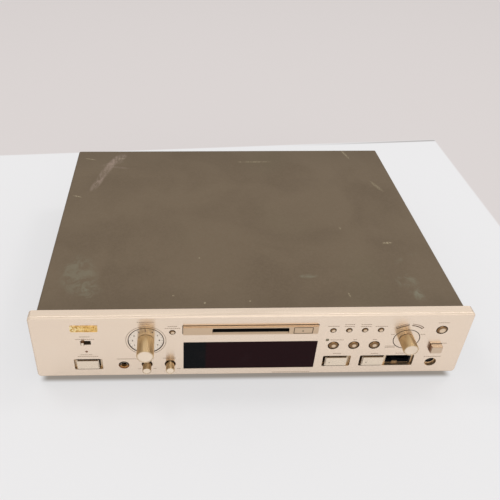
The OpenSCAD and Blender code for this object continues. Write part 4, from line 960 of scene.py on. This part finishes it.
def prism(mesh, outline, front, back):
    # a flat closed piece: outline in x and z, from one depth to another
    rings = [[mesh.verts.new((x, y, z)) for x, z in outline] for y in (front, back)]
    mesh.faces.new(rings[0])
    mesh.faces.new(rings[1][::-1])
    count = len(outline)
    for k in range(count):
        n = (k + 1) % count
        mesh.faces.new((rings[0][n], rings[0][k], rings[1][k], rings[1][n]))


def oblong(x, z, wide, high):
    return [(x - wide / 2, z - high / 2), (x + wide / 2, z - high / 2),
            (x + wide / 2, z + high / 2), (x - wide / 2, z + high / 2)]


def arcStrip(mesh, x, z, inner, outer, start, end, front, back, steps):
    # a curved strip from one bearing to another, in degrees from the top, clockwise
    def at(radius, bearing):
        turn = math.radians(bearing)
        return x + radius * math.sin(turn), z + radius * math.cos(turn)
    for k in range(steps):
        a = start + (end - start) * k / steps
        b = start + (end - start) * (k + 1) / steps
        prism(mesh, [at(inner, a), at(outer, a), at(outer, b), at(inner, b)], front, back)


def makePiece(name, mesh, material, body):
    bmesh.ops.recalc_face_normals(mesh, faces=mesh.faces)
    data = bpy.data.meshes.new(name)
    mesh.to_mesh(data)
    mesh.free()
    data.materials.append(material)
    for face in data.polygons:
        face.use_smooth = False
    piece = bpy.data.objects.new(name, data)
    bpy.context.scene.collection.objects.link(piece)
    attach(piece, body)


def printInk(name, tone):
    p = Paint(name)
    worn = p.noise(700, 3)
    colour = p.mix(p.fade(worn, 0.5, 0.75) * 0.5, tone, printing["worn"])
    return p.shade(colour, 0.5 + worn * 0.1, 0.0, p.bump(worn, 0.05, 0.0001))


def makeRules(ink):
    mesh = bmesh.new()
    front, back = faceY - printing["proud"], faceY - printing["clear"]
    dash, gap = printing["dash"]
    for x, wide, z in rules:
        x, wide, z = x * mm, wide * mm, panelBottom + z * mm
        count = max(1, round((wide + gap) / (dash + gap)))
        step = (wide + gap) / count
        for k in range(count):
            middle = x - wide / 2 + step * k + (step - gap) / 2
            prism(mesh, oblong(middle, z, step - gap, printing["ruleHigh"]), front, back)
    makePiece("legend_rules", mesh, ink, "chassis")


def numberMesh(mesh, text, x, z, size, front):
    # one plain numeral, a little proud of the surface behind it
    curve = bpy.data.curves.new("numeral", "FONT")
    curve.body = text
    curve.size = size
    curve.align_x = "CENTER"
    curve.align_y = "CENTER"
    curve.extrude = printing["proud"] / 2
    curve.offset = dialScale["numberBold"]
    curve.resolution_u = 3
    holder = bpy.data.objects.new("numeral", curve)
    bpy.context.scene.collection.objects.link(holder)
    bpy.context.view_layer.update()
    made = holder.evaluated_get(bpy.context.evaluated_depsgraph_get()).to_mesh()
    turned = bmesh.new()
    turned.from_mesh(made)
    bmesh.ops.transform(turned, verts=turned.verts,
                        matrix=Matrix.Translation((x, front, z)) @ Matrix.Rotation(math.pi / 2, 4, "X"))
    scratch = bpy.data.meshes.new("numeral")
    turned.to_mesh(scratch)
    turned.free()
    mesh.from_mesh(scratch)
    bpy.data.meshes.remove(scratch)
    bpy.data.objects.remove(holder)
    bpy.data.curves.remove(curve)


dialScale = {
    "numbers": 11,
    "turn": 150,  # degrees each way from the top
    "numberAt": 13.3 * mm,
    "numberHigh": 2.9 * mm,
    "numberBold": 0.10 * mm,
    "tickFrom": 15.4 * mm,
    "tickTo": 16.7 * mm,
    "tickWide": 0.42 * mm,
    "shortTick": 0.6,  # length of the ticks between numbers, against the others
    "outerLine": (19.65 * mm, 20.10 * mm),
    "outerTurn": 170,
    "outerSteps": 90,
}


def makeDialScale(ink):
    d = dialScale
    x, z = centre("level_dial")
    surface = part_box("level_dial")[0].y
    mesh = bmesh.new()
    last = d["numbers"] - 1
    for k in range(last + 1):
        bearing = math.radians((2 * k / last - 1) * d["turn"])
        away = Vector((math.sin(bearing), math.cos(bearing)))
        numberMesh(mesh, str(k), x + away.x * d["numberAt"], z + away.y * d["numberAt"],
                   d["numberHigh"], surface - printing["proud"] / 2)
    for k in range(2 * last + 1):
        bearing = math.radians((k / last - 1) * d["turn"])
        away = Vector((math.sin(bearing), math.cos(bearing)))
        across = Vector((away.y, -away.x)) * d["tickWide"] / 2
        long = 1.0 if k % 2 == 0 else d["shortTick"]
        start, end = away * d["tickFrom"], away * (d["tickFrom"] + (d["tickTo"] - d["tickFrom"]) * long)
        corners = [start - across, start + across, end + across, end - across]
        prism(mesh, [(x + c.x, z + c.y) for c in corners], surface - printing["proud"], surface)
    makePiece("dial_scale", mesh, ink, "chassis")


def makeDialLine(ink):
    d = dialScale
    mesh = bmesh.new()
    arcStrip(mesh, *centre("level_dial"), *d["outerLine"], -d["outerTurn"], d["outerTurn"],
             faceY - printing["proud"], faceY - printing["clear"], d["outerSteps"])
    makePiece("dial_line", mesh, ink, "chassis")


badgeRibs = {
    "count": 13,
    "share": 0.62,  # the rib's part of each step
    "proud": 0.30 * mm,
    "fieldDeep": 0.35 * mm,  # the field in front of the plate's back
    "endRoom": 1.6 * mm,
    "margin": 1.7 * mm,  # above and below a rib
    "longShare": 0.75,  # of the margin, at every third rib
    "facets": 8,
}


def makeBadgeRibs(gold):
    # plain upright ribs fill the badge plate's field
    b = badgeRibs
    low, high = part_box("badge_plate")
    field = high.y - b["fieldDeep"]
    step = (high.x - low.x - 2 * b["endRoom"]) / b["count"]
    half = step * b["share"] / 2
    last = b["facets"]
    mesh = bmesh.new()
    for k in range(b["count"]):
        middle = low.x + b["endRoom"] + step * (k + 0.5)
        margin = b["margin"] * (b["longShare"] if k % 3 == 1 else 1.0)
        rings = []
        for z in (low.z + margin, high.z - margin):
            rings.append([mesh.verts.new((middle + half * math.cos(a), field - b["proud"] * math.sin(a), z))
                          for a in [math.pi * n / last for n in range(last + 1)]])
        for n in range(last):
            mesh.faces.new((rings[0][n], rings[0][n + 1], rings[1][n + 1], rings[1][n]))
        mesh.faces.new((rings[0][0], rings[1][0], rings[1][last], rings[0][last]))
        mesh.faces.new(rings[0])
        mesh.faces.new(rings[1])
    makePiece("badge_ribs", mesh, gold, "chassis")


keyMarks = {
    "play": {"key": "play_key", "at": (83.0, 18.0), "size": 1.5, "shape": "triangle"},
    "pause": {"key": "pause_key", "at": (121.0, 17.9), "size": 1.4, "shape": "bars"},
    "eject": {"key": "eject_key", "at": (49.7, 67.4), "size": 1.9, "shape": "eject"},
}


def makeKeyMarks(ink):
    for name, m in keyMarks.items():
        x, z, size = m["at"][0] * mm, panelBottom + m["at"][1] * mm, m["size"] * mm
        half = size / 2
        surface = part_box(m["key"])[0].y
        depths = surface - printing["proud"], surface - printing["clear"]
        mesh = bmesh.new()
        if m["shape"] == "triangle":
            prism(mesh, [(x - half, z - half), (x + half, z), (x - half, z + half)], *depths)
        elif m["shape"] == "bars":
            for side in (-1, 1):
                prism(mesh, oblong(x + side * size * 0.3, z, size * 0.3, size), *depths)
        else:
            prism(mesh, [(x - half, z - size * 0.1), (x + half, z - size * 0.1), (x, z + half)], *depths)
            prism(mesh, oblong(x, z - size * 0.42, size, size * 0.22), *depths)
        makePiece(name + "_mark", mesh, ink, m["key"])


phonoRings = {
    "inner": 4.35 * mm,
    "outer": 5.9 * mm,
    "thick": 0.9 * mm,
    "chamfer": 0.25 * mm,
    "steps": 48,
    "white": (0.75, 0.73, 0.68),
    "red": (0.42, 0.03, 0.025),
    "rough": 0.35,
}


def ringPlastic(side):
    tone = phonoRings[side]
    p = Paint(side + "Ring")
    grain = p.noise(1600, 2)
    colour = p.mix(grain * 0.2, tone, darker(tone, 0.8))
    return p.shade(colour, phonoRings["rough"] + grain * 0.1, 0.0, p.bump(grain, 0.08, 0.0002))


def makePhonoRings():
    # insulating rings round the rear jacks: red on the right channel, white on the left
    r = phonoRings
    jacks = {"white": [], "red": []}
    for mount in frame["record"]["mounts"]:
        if mount["name"].startswith("line_"):
            side = "red" if mount["name"].endswith("right") else "white"
            jacks[side].append((mount["pos_m"][0], mount["pos_m"][2]))
    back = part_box("rear_panel")[1].y
    outline = ((r["inner"], back), (r["outer"], back), (r["outer"], back + r["thick"] * 0.7),
               (r["outer"] - r["chamfer"], back + r["thick"]), (r["inner"], back + r["thick"]))
    turns = [2 * math.pi * k / r["steps"] for k in range(r["steps"])]
    for side, places in jacks.items():
        mesh = bmesh.new()
        for x, z in places:
            rings = [[mesh.verts.new((x + radius * math.cos(turn), y, z + radius * math.sin(turn)))
                      for turn in turns] for radius, y in outline]
            for a, b in zip(rings, rings[1:] + rings[:1]):
                for k in range(r["steps"]):
                    n = (k + 1) % r["steps"]
                    mesh.faces.new((a[k], a[n], b[n], b[k]))
        makePiece(side + "_jack_rings", mesh, ringPlastic(side), "chassis")


makeRules(printInk("printInk", printing["rules"]))
makeDialScale(printInk("dialInk", printing["numbers"]))
makeDialLine(printInk("lineInk", printing["line"]))
makeBadgeRibs(finishes["badgeGold"][0])
makeKeyMarks(printInk("keyInk", printing["keys"]))
makePhonoRings()
print("marks made")

makeCamera()
makeLight()
makeFloor()
